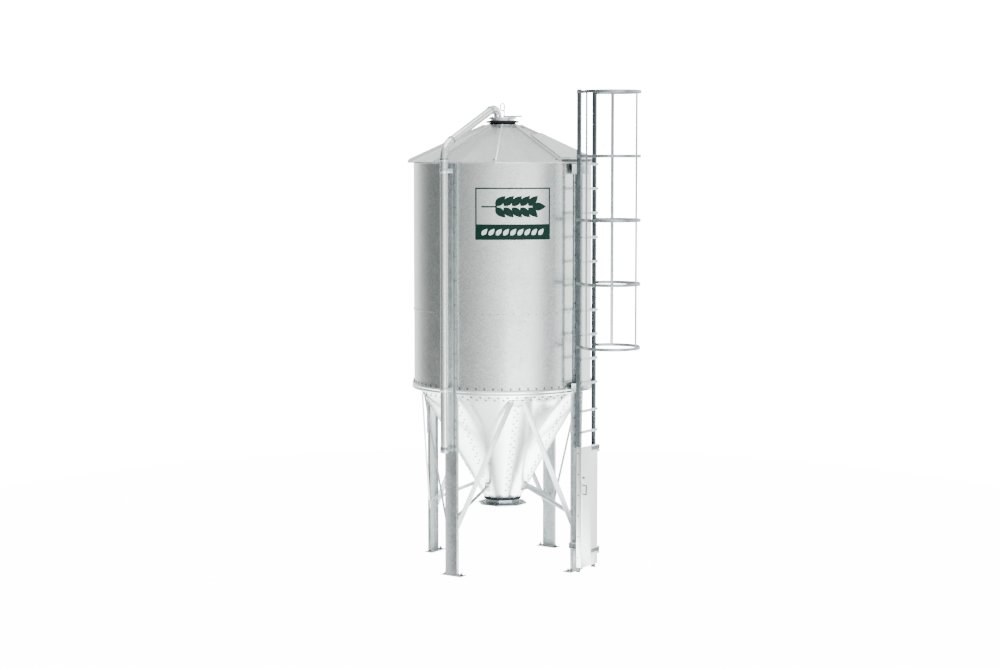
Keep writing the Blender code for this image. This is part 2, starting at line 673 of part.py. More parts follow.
def bent_route(corners, bends):
    """Return points along straight runs joined by round bends, in the plane x = 0."""
    points = [corners[0]]
    for before, corner, after, radius in zip(corners, corners[1:], corners[2:], bends):
        arriving = (corner - before).normalized()
        leaving = (after - corner).normalized()
        turn = arriving.angle(leaving)
        start = corner - arriving * radius * math.tan(turn / 2)
        inward = (leaving - arriving * leaving.dot(arriving)).normalized()
        centre = start + inward * radius
        for degrees in arc_degrees(0.0, math.degrees(turn), PIPE_BEND_STEP_DEG):
            angle = math.radians(degrees)
            points.append(centre - inward * radius * math.cos(angle) + arriving * radius * math.sin(angle))
    points.append(corners[-1])
    return points


def pipe_sections(points, radius):
    """Return circles square to the route, which lies in the plane x = 0."""
    aside = Vector((1.0, 0.0, 0.0))
    loops = []
    for index, point in enumerate(points):
        before = points[max(index - 1, 0)]
        after = points[min(index + 1, len(points) - 1)]
        up = aside.cross((after - before).normalized())
        loops.append([point + (aside * math.cos(turn) + up * math.sin(turn)) * radius
                      for turn in turns(PIPE_SIDES)])
    return loops


def build_pipe(parent, material):
    """The filling pipe up the front leg and over the roof, with its coupling at the lower end."""
    rise = (PIPE_AXIS_RADIUS - PIPE_DROP_RADIUS) * math.tan(math.radians(PIPE_SLOPE_DEG))
    corners = [Vector((0.0, -PIPE_AXIS_RADIUS, PIPE_BOTTOM_Z)),
               Vector((0.0, -PIPE_AXIS_RADIUS, PIPE_EAVE_CORNER_Z)),
               Vector((0.0, -PIPE_DROP_RADIUS, PIPE_EAVE_CORNER_Z + rise)),
               Vector((0.0, -PIPE_DROP_RADIUS, PIPE_END_Z))]
    route = bent_route(corners, (PIPE_LOWER_BEND, PIPE_UPPER_BEND))
    coupling_top = corners[0] + Vector((0.0, 0.0, COUPLING_LENGTH))
    outer = (pipe_sections([corners[0], coupling_top], COUPLING_RADIUS)
             + pipe_sections([coupling_top, *route[1:]], PIPE_RADIUS))
    inner = pipe_sections(route, PIPE_RADIUS - PIPE_WALL)
    loft_object("filling_pipe", outer + list(reversed(inner)), parent, material, closed=True)


def build_pipe_clamps(parent, material):
    """The clamps that hold the filling pipe off its post, each with a foot plate."""
    hole = PIPE_RADIUS + PIPE_CLAMP_CLEARANCE
    band = hole + SHEET
    back_y = -POST_OUTER_RADIUS - GAP
    bow = [math.radians(degrees) for degrees in arc_degrees(-90.0, 90.0, PIPE_CLAMP_STEP_DEG)]
    outline = [(-band, back_y)]
    outline += [(band * math.sin(turn), -PIPE_AXIS_RADIUS - band * math.cos(turn)) for turn in bow]
    outline += [(band, back_y), (hole, back_y)]
    outline += [(hole * math.sin(turn), -PIPE_AXIS_RADIUS - hole * math.cos(turn))
                for turn in reversed(bow)]
    outline += [(-hole, back_y)]
    for number, level in enumerate(PIPE_CLAMP_LEVELS_Z, start=1):
        low = level - PIPE_CLAMP_HEIGHT / 2
        high = level + PIPE_CLAMP_HEIGHT / 2
        clamp = loft_object(f"pipe_clamp_{number}",
                            [[Vector((x, y, z)) for x, y in outline] for z in (low, high)],
                            parent, material)
        foot_bm = bmesh.new()
        add_box(foot_bm, (-POST_WIDTH / 2, back_y - SHEET, low), (POST_WIDTH / 2, back_y, high))
        fuse(clamp, make_object(f"pipe_clamp_{number}_foot_guide", foot_bm, parent, material))


def rung_levels():
    """Return the height of the middle of each rung, from the lowest up."""
    lower = [LOWEST_RUNG_Z + LOWER_RUNG_PITCH * number for number in range(LOWER_RUNGS)]
    upper = [FIRST_UPPER_RUNG_Z + UPPER_RUNG_PITCH * number for number in range(UPPER_RUNGS)]
    return lower + upper


def build_ladder(parent, material):
    """Two rails with the rungs on their outer faces, and the brackets that hold them off the silo."""
    rails_bm = bmesh.new()
    for side in (-1, 1):
        middle = side * RAIL_SPACING / 2
        add_box(rails_bm, (RAIL_BACK_X, middle - RAIL_WIDTH / 2, LADDER_BOTTOM_Z),
                (RAIL_FRONT_X, middle + RAIL_WIDTH / 2, LADDER_TOP_Z))
    ladder = make_object("ladder", rails_bm, parent, material)
    rungs_bm = bmesh.new()
    for middle in rung_levels():
        add_box(rungs_bm, (RAIL_FRONT_X - OVERLAP, -RAIL_OUTER_Y, middle - RUNG_HEIGHT / 2),
                (RUNG_FRONT_X, RAIL_OUTER_Y, middle + RUNG_HEIGHT / 2))
    fuse(ladder, make_object("ladder_rung_guide", rungs_bm, parent, material))

    back = {"top": POST_OUTER_RADIUS, "middle": POST_OUTER_RADIUS, "foot": LEG_OUTER_RADIUS}
    for name, (low, high) in BRACKET_LEVELS_Z.items():
        start = back[name] + GAP
        end = RAIL_BACK_X - GAP
        outline = [(start, low), (end, low), (end, low + SHEET), (start + SHEET, low + SHEET),
                   (start + SHEET, high - SHEET), (end, high - SHEET), (end, high), (start, high)]
        loops = [[Vector((x, y, z)) for x, z in outline] for y in (-RAIL_OUTER_Y, RAIL_OUTER_Y)]
        loft_object(f"ladder_bracket_{name}", loops, parent, material)


def hoop_route():
    """Return each corner of a hoop's plan with its outward direction, from rail to rail."""
    centre_x = LADDER_PLANE_X + HOOP_CENTRE_OUT
    tab_y = RAIL_OUTER_Y + GAP + SHEET / 2
    open_deg = math.degrees(math.asin(tab_y / HOOP_RADIUS))
    bow = []
    for degrees in arc_degrees(-180.0 + open_deg, 180.0 - open_deg, HOOP_STEP_DEG):
        turn = math.radians(degrees)
        out = Vector((math.cos(turn), math.sin(turn), 0.0))
        bow.append((Vector((centre_x, 0.0, 0.0)) + out * HOOP_RADIUS, out))
    right, left = Vector((0.0, -1.0, 0.0)), Vector((0.0, 1.0, 0.0))
    return [(Vector((RAIL_BACK_X, -tab_y, 0.0)), right), (bow[0][0], right), *bow[1:-1],
            (bow[-1][0], left), (Vector((RAIL_BACK_X, tab_y, 0.0)), left)]


def build_cage(parent, material):
    """Five hoops of flat bar bolted to the rails, and three bars down their insides."""
    half = SHEET / 2
    outline = [(-half, -HOOP_HEIGHT / 2), (half, -HOOP_HEIGHT / 2),
               (half, HOOP_HEIGHT / 2), (-half, HOOP_HEIGHT / 2)]
    for number in range(HOOP_COUNT):
        middle = Vector((0.0, 0.0, LOWEST_HOOP_Z + HOOP_PITCH * number))
        loops = [[corner + out * wide + middle + Vector((0.0, 0.0, tall)) for wide, tall in outline]
                 for corner, out in hoop_route()]
        loft_object(f"cage_hoop_{number + 1}", loops, parent, material)

    low = LOWEST_HOOP_Z - HOOP_HEIGHT / 2
    high = LOWEST_HOOP_Z + HOOP_PITCH * (HOOP_COUNT - 1) + HOOP_HEIGHT / 2
    outer = HOOP_RADIUS * math.cos(math.radians(HOOP_STEP_DEG / 2)) - half - CAGE_BAR_CLEARANCE
    section = [(-CAGE_BAR_WIDTH / 2, outer - SHEET), (-CAGE_BAR_WIDTH / 2, outer),
               (CAGE_BAR_WIDTH / 2, outer), (CAGE_BAR_WIDTH / 2, outer - SHEET)]
    for number, angle in enumerate(CAGE_BAR_ANGLES_DEG, start=1):
        turn = math.radians(angle)
        out = Vector((math.cos(turn), math.sin(turn), 0.0))
        along = Vector((-math.sin(turn), math.cos(turn), 0.0))
        loops = [[Vector((LADDER_PLANE_X + HOOP_CENTRE_OUT, 0.0, z)) + out * radius + along * aside
                  for aside, radius in section] for z in (low, high)]
        loft_object(f"cage_bar_{number}", loops, parent, material)


def build_guard_door(parent, material):
    """The lockable door across the ladder's foot, under an empty on its hinge axis."""
    pivot = bpy.data.objects.new("guard_door_axis", None)
    bpy.context.collection.objects.link(pivot)
    pivot.parent = parent
    pivot.location = (HINGE_PIN_X, HINGE_PIN_Y, 0.0)

    def local(x, y, z):
        return Vector((x - HINGE_PIN_X, y - HINGE_PIN_Y, z))

    back = GUARD_BACK_X
    front = back + GUARD_SHEET
    fold_y = (GUARD_FREE_EDGE_Y + GUARD_HINGE_EDGE_Y) / 2
    outline = [(back - GUARD_RETURN, GUARD_FREE_EDGE_Y), (front, GUARD_FREE_EDGE_Y),
               (front + GUARD_FOLD, fold_y), (front, GUARD_HINGE_EDGE_Y),
               (back, GUARD_HINGE_EDGE_Y), (back + GUARD_FOLD, fold_y),
               (back, GUARD_FREE_EDGE_Y + GUARD_SHEET),
               (back - GUARD_RETURN, GUARD_FREE_EDGE_Y + GUARD_SHEET)]
    door = loft_object("guard_door", [[local(x, y, z) for x, y in outline]
                                      for z in (GUARD_BOTTOM_Z, GUARD_TOP_Z)], pivot, material)

    strap_bm = bmesh.new()
    knuckle_bm = bmesh.new()
    for level in HINGE_LEVELS_Z.values():
        low = level - KNUCKLE_HEIGHT / 2
        high = level + KNUCKLE_HEIGHT / 2
        add_box(strap_bm, local(front - OVERLAP, GUARD_HINGE_EDGE_Y - STRAP_LENGTH, low + STRAP_INSET),
                local(front + STRAP_THICKNESS, HINGE_PIN_Y - STRAP_PIN_CLEARANCE, high - STRAP_INSET))
        add_loft(knuckle_bm, [circle(radius, z, HINGE_SIDES)
                              for radius, z in ((KNUCKLE_HOLE_RADIUS, low), (KNUCKLE_RADIUS, low),
                                                (KNUCKLE_RADIUS, high), (KNUCKLE_HOLE_RADIUS, high))],
                 closed=True)
    fuse(door, make_object("guard_door_strap_guide", strap_bm, pivot, material))
    fuse(door, make_object("guard_door_knuckle_guide", knuckle_bm, pivot, material))

    low, high = GRIP_Z
    end = front + GRIP_REACH
    foot = front - OVERLAP / 2
    outline = [(foot, low), (end, low), (end, high), (foot, high), (foot, high - GRIP_BAR),
               (end - GRIP_BAR, high - GRIP_BAR), (end - GRIP_BAR, low + GRIP_BAR),
               (foot, low + GRIP_BAR)]
    grip_bm = bmesh.new()
    add_loft(grip_bm, [[local(x, y, z) for x, z in outline]
                       for y in (GRIP_Y - GRIP_BAR / 2, GRIP_Y + GRIP_BAR / 2)])
    add_loft(grip_bm, [[local(x, GRIP_Y + KNOB_RADIUS * math.cos(turn), KNOB_Z + KNOB_RADIUS * math.sin(turn))
                        for turn in turns(KNOB_SIDES)] for x in (foot, front + KNOB_REACH)])
    fuse(door, make_object("guard_door_grip_guide", grip_bm, pivot, material))


def build_guard_hinges(parent, material):
    """The two hinge plates on the ladder's rail, each with a lug and an upright pin."""
    for name, level in HINGE_LEVELS_Z.items():
        low = level - KNUCKLE_HEIGHT / 2 - HINGE_PLATE_DROP
        high = low + HINGE_PLATE_HEIGHT
        rail_y = RAIL_OUTER_Y + GAP
        plate_bm = bmesh.new()
        add_box(plate_bm, (RAIL_BACK_X, rail_y, low),
                (HINGE_PIN_X + LUG_HALF_WIDTH, rail_y + HINGE_PLATE_THICKNESS, high))
        hinge = make_object(f"guard_hinge_{name}", plate_bm, parent, material)
        lug_bm = bmesh.new()
        add_box(lug_bm, (HINGE_PIN_X - LUG_HALF_WIDTH, rail_y + OVERLAP, low + LUG_INSET),
                (HINGE_PIN_X + LUG_HALF_WIDTH, HINGE_PIN_Y + LUG_REACH, high - LUG_INSET))
        fuse(hinge, make_object(f"guard_hinge_{name}_lug_guide", lug_bm, parent, material))
        pin_bm = bmesh.new()
        add_loft(pin_bm, [circle(HINGE_PIN_RADIUS, z, HINGE_SIDES, (HINGE_PIN_X, HINGE_PIN_Y))
                          for z in ((low + high) / 2, level + KNUCKLE_HEIGHT / 2 + HINGE_PIN_RISE)])
        fuse(hinge, make_object(f"guard_hinge_{name}_pin_guide", pin_bm, parent, material))


def hatch_loops(low_lift, high_lift, inset):
    """Return the hatch's plan above the roof at two lifts, drawn in by an inset."""
    half_turn = math.radians(ROOF_SEGMENT_DEG / 2)
    facet_turn = half_turn / 2
    inner = HATCH_INNER_RADIUS + inset
    outer = HATCH_OUTER_RADIUS - inset
    plan = []
    for radius, side in ((inner, -1), (outer, -1), (outer, 0), (outer, 1), (inner, 1), (inner, 0)):
        x = radius * math.cos(half_turn) if side else radius
        y = abs(side) * (radius * math.sin(half_turn) - HATCH_EDGE_INSET - inset)
        across_facet = x * math.cos(facet_turn) + y * math.sin(facet_turn)
        plan.append(Vector((x, side * y, roof_z(across_facet / math.cos(facet_turn)))))
    return [[point + Vector((0.0, 0.0, lift)) for point in plan] for lift in (low_lift, high_lift)]


def build_hatch(parent, material):
    """The raised inspection hatch on the roof segment that faces the ladder, open underneath."""
    halves = [(0, 1, 2, 5), (5, 2, 3, 4)]
    hatch = loft_object("roof_hatch", hatch_loops(HATCH_OFF_ROOF, HATCH_HEIGHT, 0.0),
                        parent, material, caps=halves)
    hollow = loft_object("roof_hatch_hollow_cutter",
                         hatch_loops(-HATCH_CUT_DEPTH, HATCH_HEIGHT - SHEET, SHEET),
                         parent, material, caps=halves)
    fuse(hatch, hollow, "DIFFERENCE")


def centre_on_ground(root):
    """Move the silo so that the middle of its footprint is the origin."""
    bpy.context.view_layer.update()
    points = [obj.matrix_world @ vertex.co for obj in bpy.data.objects
              if obj.type == "MESH" and not obj.hide_render for vertex in obj.data.vertices]
    middle = [(min(point[axis] for point in points) + max(point[axis] for point in points)) / 2
              for axis in (0, 1)]
    root.location = (-middle[0], -middle[1], 0.0)
    print("silo axis at", root.location[:])


def main():
    """Build every part of the silo under the empty on its axis."""
    remove_scene_objects()
    root = bpy.data.objects.new("silo_axis", None)
    bpy.context.collection.objects.link(root)
    galvanised = make_material("galvanised_sheet", (0.62, 0.65, 0.65), 0.35)
    dipped = make_material("hot_dipped_steel", (0.48, 0.52, 0.53), 0.45)
    for build in (build_shell, build_hopper, build_outlet, build_roof, build_collar, build_cover,
                  build_pipe, build_hatch):
        build(root, galvanised)
    for build in (build_ring, build_legs, build_braces, build_struts, build_pipe_clamps,
                  build_ladder, build_cage, build_guard_door, build_guard_hinges):
        build(root, dipped)
    centre_on_ground(root)


main()
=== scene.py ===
"""Looks of a galvanised grain silo: its sheets, bolts, ladder, pipe and sign around the CAD frame.

Pieces are built in metres about the silo's own axis and then moved to it. Azimuth 0 points
along -Y, where the filling pipe runs, and azimuth 90 along +X, where the ladder stands.
"""
import logging
import math
from dataclasses import dataclass, field
from enum import Enum

import bmesh
import bpy
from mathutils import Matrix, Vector


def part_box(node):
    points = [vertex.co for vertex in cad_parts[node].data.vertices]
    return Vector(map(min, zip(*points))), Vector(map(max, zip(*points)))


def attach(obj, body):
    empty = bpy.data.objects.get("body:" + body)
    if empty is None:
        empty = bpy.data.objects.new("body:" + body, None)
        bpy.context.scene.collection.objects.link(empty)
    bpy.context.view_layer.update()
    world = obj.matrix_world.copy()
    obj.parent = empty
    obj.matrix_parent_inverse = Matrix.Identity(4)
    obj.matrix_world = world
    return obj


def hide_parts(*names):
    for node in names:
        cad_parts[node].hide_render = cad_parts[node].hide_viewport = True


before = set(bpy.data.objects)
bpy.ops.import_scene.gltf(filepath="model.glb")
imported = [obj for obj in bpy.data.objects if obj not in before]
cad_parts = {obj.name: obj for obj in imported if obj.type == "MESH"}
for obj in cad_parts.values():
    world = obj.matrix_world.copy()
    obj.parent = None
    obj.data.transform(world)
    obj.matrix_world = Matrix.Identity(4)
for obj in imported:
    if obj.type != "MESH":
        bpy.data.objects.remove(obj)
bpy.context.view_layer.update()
LOG = logging.getLogger("silo")

Loop = list[Vector]
Profile = list[tuple[float, float]]
Panels = tuple[tuple[float, float], ...]
UP = Vector((0.0, 0.0, 1.0))


class Slot(Enum):
    """The record's material slots."""

    SHEET = "galvanised_sheet"
    DIPPED = "hot_dipped_steel"


class Body(Enum):
    """The CAD bodies that pieces ride on."""

    SILO = "silo"
    GUARD = "guard_door"


# ---- Shader tools


def linear(hex_colour: str) -> tuple[float, float, float, float]:
    """Turn an sRGB hex colour into linear RGBA.

    Args:
        hex_colour: six hex digits, such as "c8ccca".

    Returns:
        Red, green, blue and an alpha of 1.
    """
    channels = [int(hex_colour[place:place + 2], 16) / 255 for place in (0, 2, 4)]
    shares = [c / 12.92 if c <= 0.04045 else ((c + 0.055) / 1.055) ** 2.4 for c in channels]
    return (*shares, 1.0)


def add_node(tree: bpy.types.NodeTree, kind: str, settings: dict | None = None,
             links: dict | None = None) -> bpy.types.Node:
    """Add a node with its settings and incoming links.

    Args:
        tree: the material's or world's node tree.
        kind: the node's type, such as "ShaderNodeTexNoise".
        settings: values by property name, input name or input number.
        links: output sockets by input name or number.

    Returns:
        The new node.
    """
    node = tree.nodes.new(kind)
    for name, value in (settings or {}).items():
        if isinstance(name, int) or name in node.inputs:
            node.inputs[name].default_value = value
        else:
            setattr(node, name, value)
    for name, socket in (links or {}).items():
        tree.links.new(socket, node.inputs[name])
    return node


def new_material(name: str) -> tuple[bpy.types.Material, bpy.types.NodeTree, bpy.types.Node]:
    """Return a new material with its node tree and its Principled shader."""
    material = bpy.data.materials.new(name)
    material.use_nodes = True
    tree = material.node_tree
    return material, tree, tree.nodes["Principled BSDF"]


@dataclass(frozen=True)
class ZincCoat:
    """Hot-dip galvanised steel: the molten zinc froze on it in crystals, the spangle.

    Each crystal mirrors a little differently, so the grey shifts from flake to flake, and the
    coat is duller where it was dipped thick or has weathered.
    """

    name: str
    light: str
    dark: str
    roughness: float
    spangle_mm: float = 14.0
    patina_mm: float = 220.0
    spangle_share: float = 0.5
    dent_mm: float = 0.0
    metallic: float = 1.0

    def build(self) -> bpy.types.Material:
        """Return the coat as a material."""
        material, tree, shader = new_material(self.name)
        place = add_node(tree, "ShaderNodeTexCoord").outputs["Object"]
        # Crystals of 10 to 20 mm, as on a regular-spangle coil
        flakes = add_node(tree, "ShaderNodeTexVoronoi", {"Scale": 1000.0 / self.spangle_mm},
                          {"Vector": place})
        flake = add_node(tree, "ShaderNodeSeparateColor", links={"Color": flakes.outputs["Color"]})
        # Cloudy patches a hand or two across, where rain and handling dull the zinc
        patina = add_node(tree, "ShaderNodeTexNoise",
                          {"Scale": 1000.0 / self.patina_mm, "Detail": 4.0, "Roughness": 0.55},
                          {"Vector": place})
        share = add_node(tree, "ShaderNodeMix",
                         {"data_type": "FLOAT", 0: self.spangle_share},
                         {2: patina.outputs["Fac"], 3: flake.outputs["Red"]})
        colour = add_node(tree, "ShaderNodeValToRGB", links={"Fac": share.outputs[0]})
        colour.color_ramp.elements[0].color = linear(self.dark)
        colour.color_ramp.elements[0].position = 0.15
        colour.color_ramp.elements[1].color = linear(self.light)
        colour.color_ramp.elements[1].position = 0.80
        tree.links.new(colour.outputs["Color"], shader.inputs["Base Color"])
        gloss = add_node(tree, "ShaderNodeMapRange",
                         {"From Min": 0.2, "From Max": 0.8,
                          "To Min": self.roughness * 0.86, "To Max": self.roughness * 1.16},
                         {"Value": share.outputs[0]})
        tree.links.new(gloss.outputs["Result"], shader.inputs["Roughness"])
        shader.inputs["Metallic"].default_value = self.metallic
        # Flake edges stand a few hundredths of a millimetre proud, drawn coarser so that they show
        relief = add_node(tree, "ShaderNodeBump", {"Strength": 0.10, "Distance": 0.0006},
                          {"Height": flakes.outputs["Distance"]})
        if self.dent_mm:
            # Thin sheet bellies gently between its bolts, over about half a metre
            belly = add_node(tree, "ShaderNodeTexNoise", {"Scale": 1.8, "Detail": 1.0},
                             {"Vector": place})
            relief = add_node(tree, "ShaderNodeBump",
                              {"Strength": 0.5, "Distance": self.dent_mm / 1000.0},
                              {"Height": belly.outputs["Fac"], "Normal": relief.outputs["Normal"]})
        tree.links.new(relief.outputs["Normal"], shader.inputs["Normal"])
        return material


@dataclass(frozen=True)
class SatinCoat:
    """A smooth part of one colour and a fine grain: plated steel, aluminium, near-black rings or
    vinyl.
    """

    name: str
    colour: str
    worn: str
    roughness: float
    metallic: float = 0.0
    grain_mm: float = 6.0
    relief_mm: float = 0.05
    squash: tuple[float, float, float] = (1.0, 1.0, 1.0)
    specular: float = 0.5

    def build(self) -> bpy.types.Material:
        """Return the coat as a material."""
        material, tree, shader = new_material(self.name)
        place = add_node(tree, "ShaderNodeTexCoord").outputs["Object"]
        stretched = add_node(tree, "ShaderNodeMapping", {"Scale": self.squash}, {"Vector": place})
        grain = add_node(tree, "ShaderNodeTexNoise",
                         {"Scale": 1000.0 / self.grain_mm, "Detail": 3.0},
                         {"Vector": stretched.outputs["Vector"]})
        colour = add_node(tree, "ShaderNodeMix",
                          {"data_type": "RGBA", 6: linear(self.colour), 7: linear(self.worn)},
                          {0: grain.outputs["Fac"]})
        tree.links.new(colour.outputs[2], shader.inputs["Base Color"])
        gloss = add_node(tree, "ShaderNodeMapRange",
                         {"To Min": self.roughness * 0.9, "To Max": self.roughness * 1.1},
                         {"Value": grain.outputs["Fac"]})
        tree.links.new(gloss.outputs["Result"], shader.inputs["Roughness"])
        shader.inputs["Metallic"].default_value = self.metallic
        shader.inputs["Specular IOR Level"].default_value = self.specular
        relief = add_node(tree, "ShaderNodeBump",
                          {"Strength": 0.2, "Distance": self.relief_mm / 1000.0},
                          {"Height": grain.outputs["Fac"]})
        tree.links.new(relief.outputs["Normal"], shader.inputs["Normal"])
        return material


@dataclass(frozen=True)
class Finishes:
    """The silo's finishes, built once and shared by its pieces."""

    sheet: bpy.types.Material
    roof: bpy.types.Material
    dipped: bpy.types.Material
    rail: bpy.types.Material
    cage: bpy.types.Material
    plated: bpy.types.Material
    aluminium: bpy.types.Material
    rubber: bpy.types.Material
    vinyl: bpy.types.Material
    pale_vinyl: bpy.types.Material

    @classmethod
    def build(cls) -> "Finishes":
        """Return all the finishes."""
        return cls(
            # Galvanised coil: rolled bright, so a soft mirror with a faint green-grey cast
            sheet=ZincCoat("galvanised_coil", light="dde2e0", dark="c9d0ce", roughness=0.22,
                           dent_mm=1.2).build(),
            # The same coil on the roof, dulled by rain and dust
            roof=ZincCoat("galvanised_roof_sheet", light="d6dad9", dark="c6cbca", roughness=0.34,
                          spangle_mm=18.0).build(),
            # Legs and braces are dipped after folding: a thicker, greyer coat
            dipped=ZincCoat("hot_dipped_section", light="c9d0d0", dark="b2babb", roughness=0.36,
                            spangle_mm=22.0, patina_mm=160.0, spangle_share=0.4).build(),
            # Ladder steel is dipped in bundles: the zinc alloys through and comes out matt and dark
            # The same dark steel also paints shade on the posts' side walls
            rail=ZincCoat("hot_dipped_ladder_steel", light="6c7577", dark="596264", roughness=0.42,
                          spangle_mm=16.0, patina_mm=120.0, spangle_share=0.35).build(),
            # The cage's flat bar is thin, cools fast and keeps a lighter coat
            cage=ZincCoat("hot_dipped_cage_bar", light="939c9e", dark="7f898b", roughness=0.38,
                          spangle_mm=16.0, patina_mm=120.0, spangle_share=0.35).build(),
            # Electroplated bolts are bright, with a blue cast
            plated=SatinCoat("zinc_plated_bolt", colour="a3abb0", worn="81898e", roughness=0.32,
                             metallic=1.0, grain_mm=4.0).build(),
            # Mill-finish aluminium of the guard door: pale, with rolling lines along the sheet
            aluminium=SatinCoat("mill_aluminium_sheet", colour="eef0f0", worn="e2e5e6",
                                roughness=0.38, metallic=1.0, grain_mm=3.0,
                                squash=(1.0, 1.0, 0.03)).build(),
            # Matt near-black with bloom, for the rings under the hopper and under the collar's lid;
            # under the hopper it is painted shade
            rubber=SatinCoat("epdm_rubber_seal", colour="15181a", worn="222729", roughness=0.70,
                             grain_mm=5.0, specular=0.1).build(),
            # Cut vinyl film: smooth, deep green, faintly glossy
            vinyl=SatinCoat("cut_vinyl_film", colour="001b15", worn="001f18", roughness=0.55,
                            grain_mm=40.0, relief_mm=0.02, specular=0.08).build(),
            # The same film in a pale silver grey
            pale_vinyl=SatinCoat("pale_vinyl_film", colour="a9b0ae", worn="b2b8b6", roughness=0.45,
                                 grain_mm=40.0, relief_mm=0.02).build(),
        )


# ---- Mesh tools


def polar(azimuth_deg: float, radius: float, z: float, aside: float = 0.0) -> Vector:
    """Return the point at an azimuth and radius, moved aside along the tangent."""
    angle = math.radians(azimuth_deg)
    outward = Vector((math.sin(angle), -math.cos(angle), 0.0))
    tangent = Vector((math.cos(angle), math.sin(angle), 0.0))
    return outward * radius + tangent * aside + Vector((0.0, 0.0, z))


def spread(start: float, end: float, count: int) -> list[float]:
    """Return count + 1 even values from start to end."""
    return [start + (end - start) * index / count for index in range(count + 1)]


def turns(count: int) -> list[float]:
    """Return evenly spaced angles round a full circle, in radians."""
    return [2.0 * math.pi * index / count for index in range(count)]


def turned(profile: Profile, azimuths: list[float]) -> list[Loop]:
    """Return a radial profile's sections at each azimuth."""
    return [[polar(azimuth, radius, z) for radius, z in profile] for azimuth in azimuths]


def full_turn(steps: int) -> list[float]:
    """Return azimuths round the whole silo, without the repeated last one."""
    return spread(0.0, 360.0, steps)[:-1]


def ring_section(centre: Vector, first: Vector, second: Vector, radius: float, sides: int) -> Loop:
    """Return a circle of points in the plane of two unit vectors."""
    return [centre + (first * math.cos(turn) + second * math.sin(turn)) * radius
            for turn in turns(sides)]


def tube_sections(points: Loop, radius: float, sides: int) -> list[Loop]:
    """Return circles square to a route.

    Args:
        points: the route's points.
        radius: the tube's radius.
        sides: points in each circle.

    Returns:
        One circle for each point, without twist between them.
    """
    along = (points[1] - points[0]).normalized()
    first = along.orthogonal().normalized()
    sections = []
    for index, point in enumerate(points):
        before = points[max(index - 1, 0)]
        after = points[min(index + 1, len(points) - 1)]
        along = (after - before).normalized()
        first = (first - along * first.dot(along)).normalized()
        sections.append(ring_section(point, first, along.cross(first), radius, sides))
    return sections


def bent_route(corners: Loop, bends: tuple[float, ...], step_deg: float = 4.0) -> Loop:
    """Return a route along straight runs joined by round bends.

    Args:
        corners: the corners of the straight runs.
        bends: the radius of the bend at each inner corner.
        step_deg: turn between two points of a bend.

    Returns:
        The route's points.
    """
    points = [corners[0]]
    for before, corner, after, radius in zip(corners, corners[1:], corners[2:], bends):
        arriving = (corner - before).normalized()
        leaving = (after - corner).normalized()
        turn = arriving.angle(leaving)
        start = corner - arriving * radius * math.tan(turn / 2)
        inward = (leaving - arriving * leaving.dot(arriving)).normalized()
        centre = start + inward * radius
        for angle in spread(0.0, turn, max(2, round(math.degrees(turn) / step_deg))):
            points.append(centre - inward * radius * math.cos(angle)
                          + arriving * radius * math.sin(angle))
    return [*points, corners[-1]]


class Piece:
    """One piece of the visual model while its mesh is being made."""

    def __init__(self, name: str, finish: bpy.types.Material) -> None:
        """Start an empty piece.

        Args:
            name: the object's name.
            finish: its material.
        """
        self.name = name
        self.finish = finish
        self.mesh = bmesh.new()

    def loft(self, loops: list[Loop], closed: bool = False, capped: bool = True) -> None:
        """Add a skin through the loops.

        Args:
            loops: cross-sections with equal numbers of points, in order.
            closed: join the last loop to the first.
            capped: close both ends with a face.
        """
        rows = [[self.mesh.verts.new(point) for point in loop] for loop in loops]
        pairs = list(zip(rows, rows[1:]))
        if closed:
            pairs.append((rows[-1], rows[0]))
        elif capped:
            self.mesh.faces.new(rows[0])
            self.mesh.faces.new(list(reversed(rows[-1])))
        for lower, upper in pairs:
            for index in range(len(lower)):
                following = (index + 1) % len(lower)
                self.mesh.faces.new((lower[index], upper[index], upper[following],
                                     lower[following]))

    def spin(self, profile: Profile, steps: int) -> None:
        """Add a profile turned right round the silo's axis."""
        self.loft(turned(profile, full_turn(steps)), closed=True)

    def box(self, low: tuple[float, float, float], high: tuple[float, float, float]) -> None:
        """Add a box between two corners."""
        corners = [(low[0], low[1]), (high[0], low[1]), (high[0], high[1]), (low[0], high[1])]
        self.loft([[Vector((x, y, z)) for x, y in corners] for z in (low[2], high[2])])

    def tube(self, points: Loop, radius: float, sides: int = 16) -> None:
        """Add a solid round bar along a route."""
        self.loft(tube_sections(points, radius, sides))

    def place(self, silo: "SiloFrame", slot: Slot | None, replaces: tuple[str, ...] = (),
              body: Body = Body.SILO, rounding: float = 0.0, smooth_deg: float = 35.0,
              rounding_deg: float = 30.0) -> bpy.types.Object:
        """Turn the mesh into an object on its CAD body.

        Args:
            silo: gives the axis that the piece was built about.
            slot: the record's slot, or None for a finish that has none; not used.
            replaces: the CAD nodes that the piece stands for.
            body: the CAD body that it rides on.
            rounding: width of the rounding on its edges.
            smooth_deg: edges flatter than this are shaded smooth.
            rounding_deg: edges sharper than this are rounded.

        Returns:
            The placed object.
        """
        bmesh.ops.recalc_face_normals(self.mesh, faces=self.mesh.faces)
        data = bpy.data.meshes.new(self.name)
        self.mesh.to_mesh(data)
        self.mesh.free()
        data.materials.append(self.finish)
        data.shade_smooth()
        obj = bpy.data.objects.new(self.name, data)
        bpy.context.collection.objects.link(obj)
        obj.location = silo.axis
        dress(obj, replaces, body, rounding, smooth_deg, rounding_deg)
        return obj


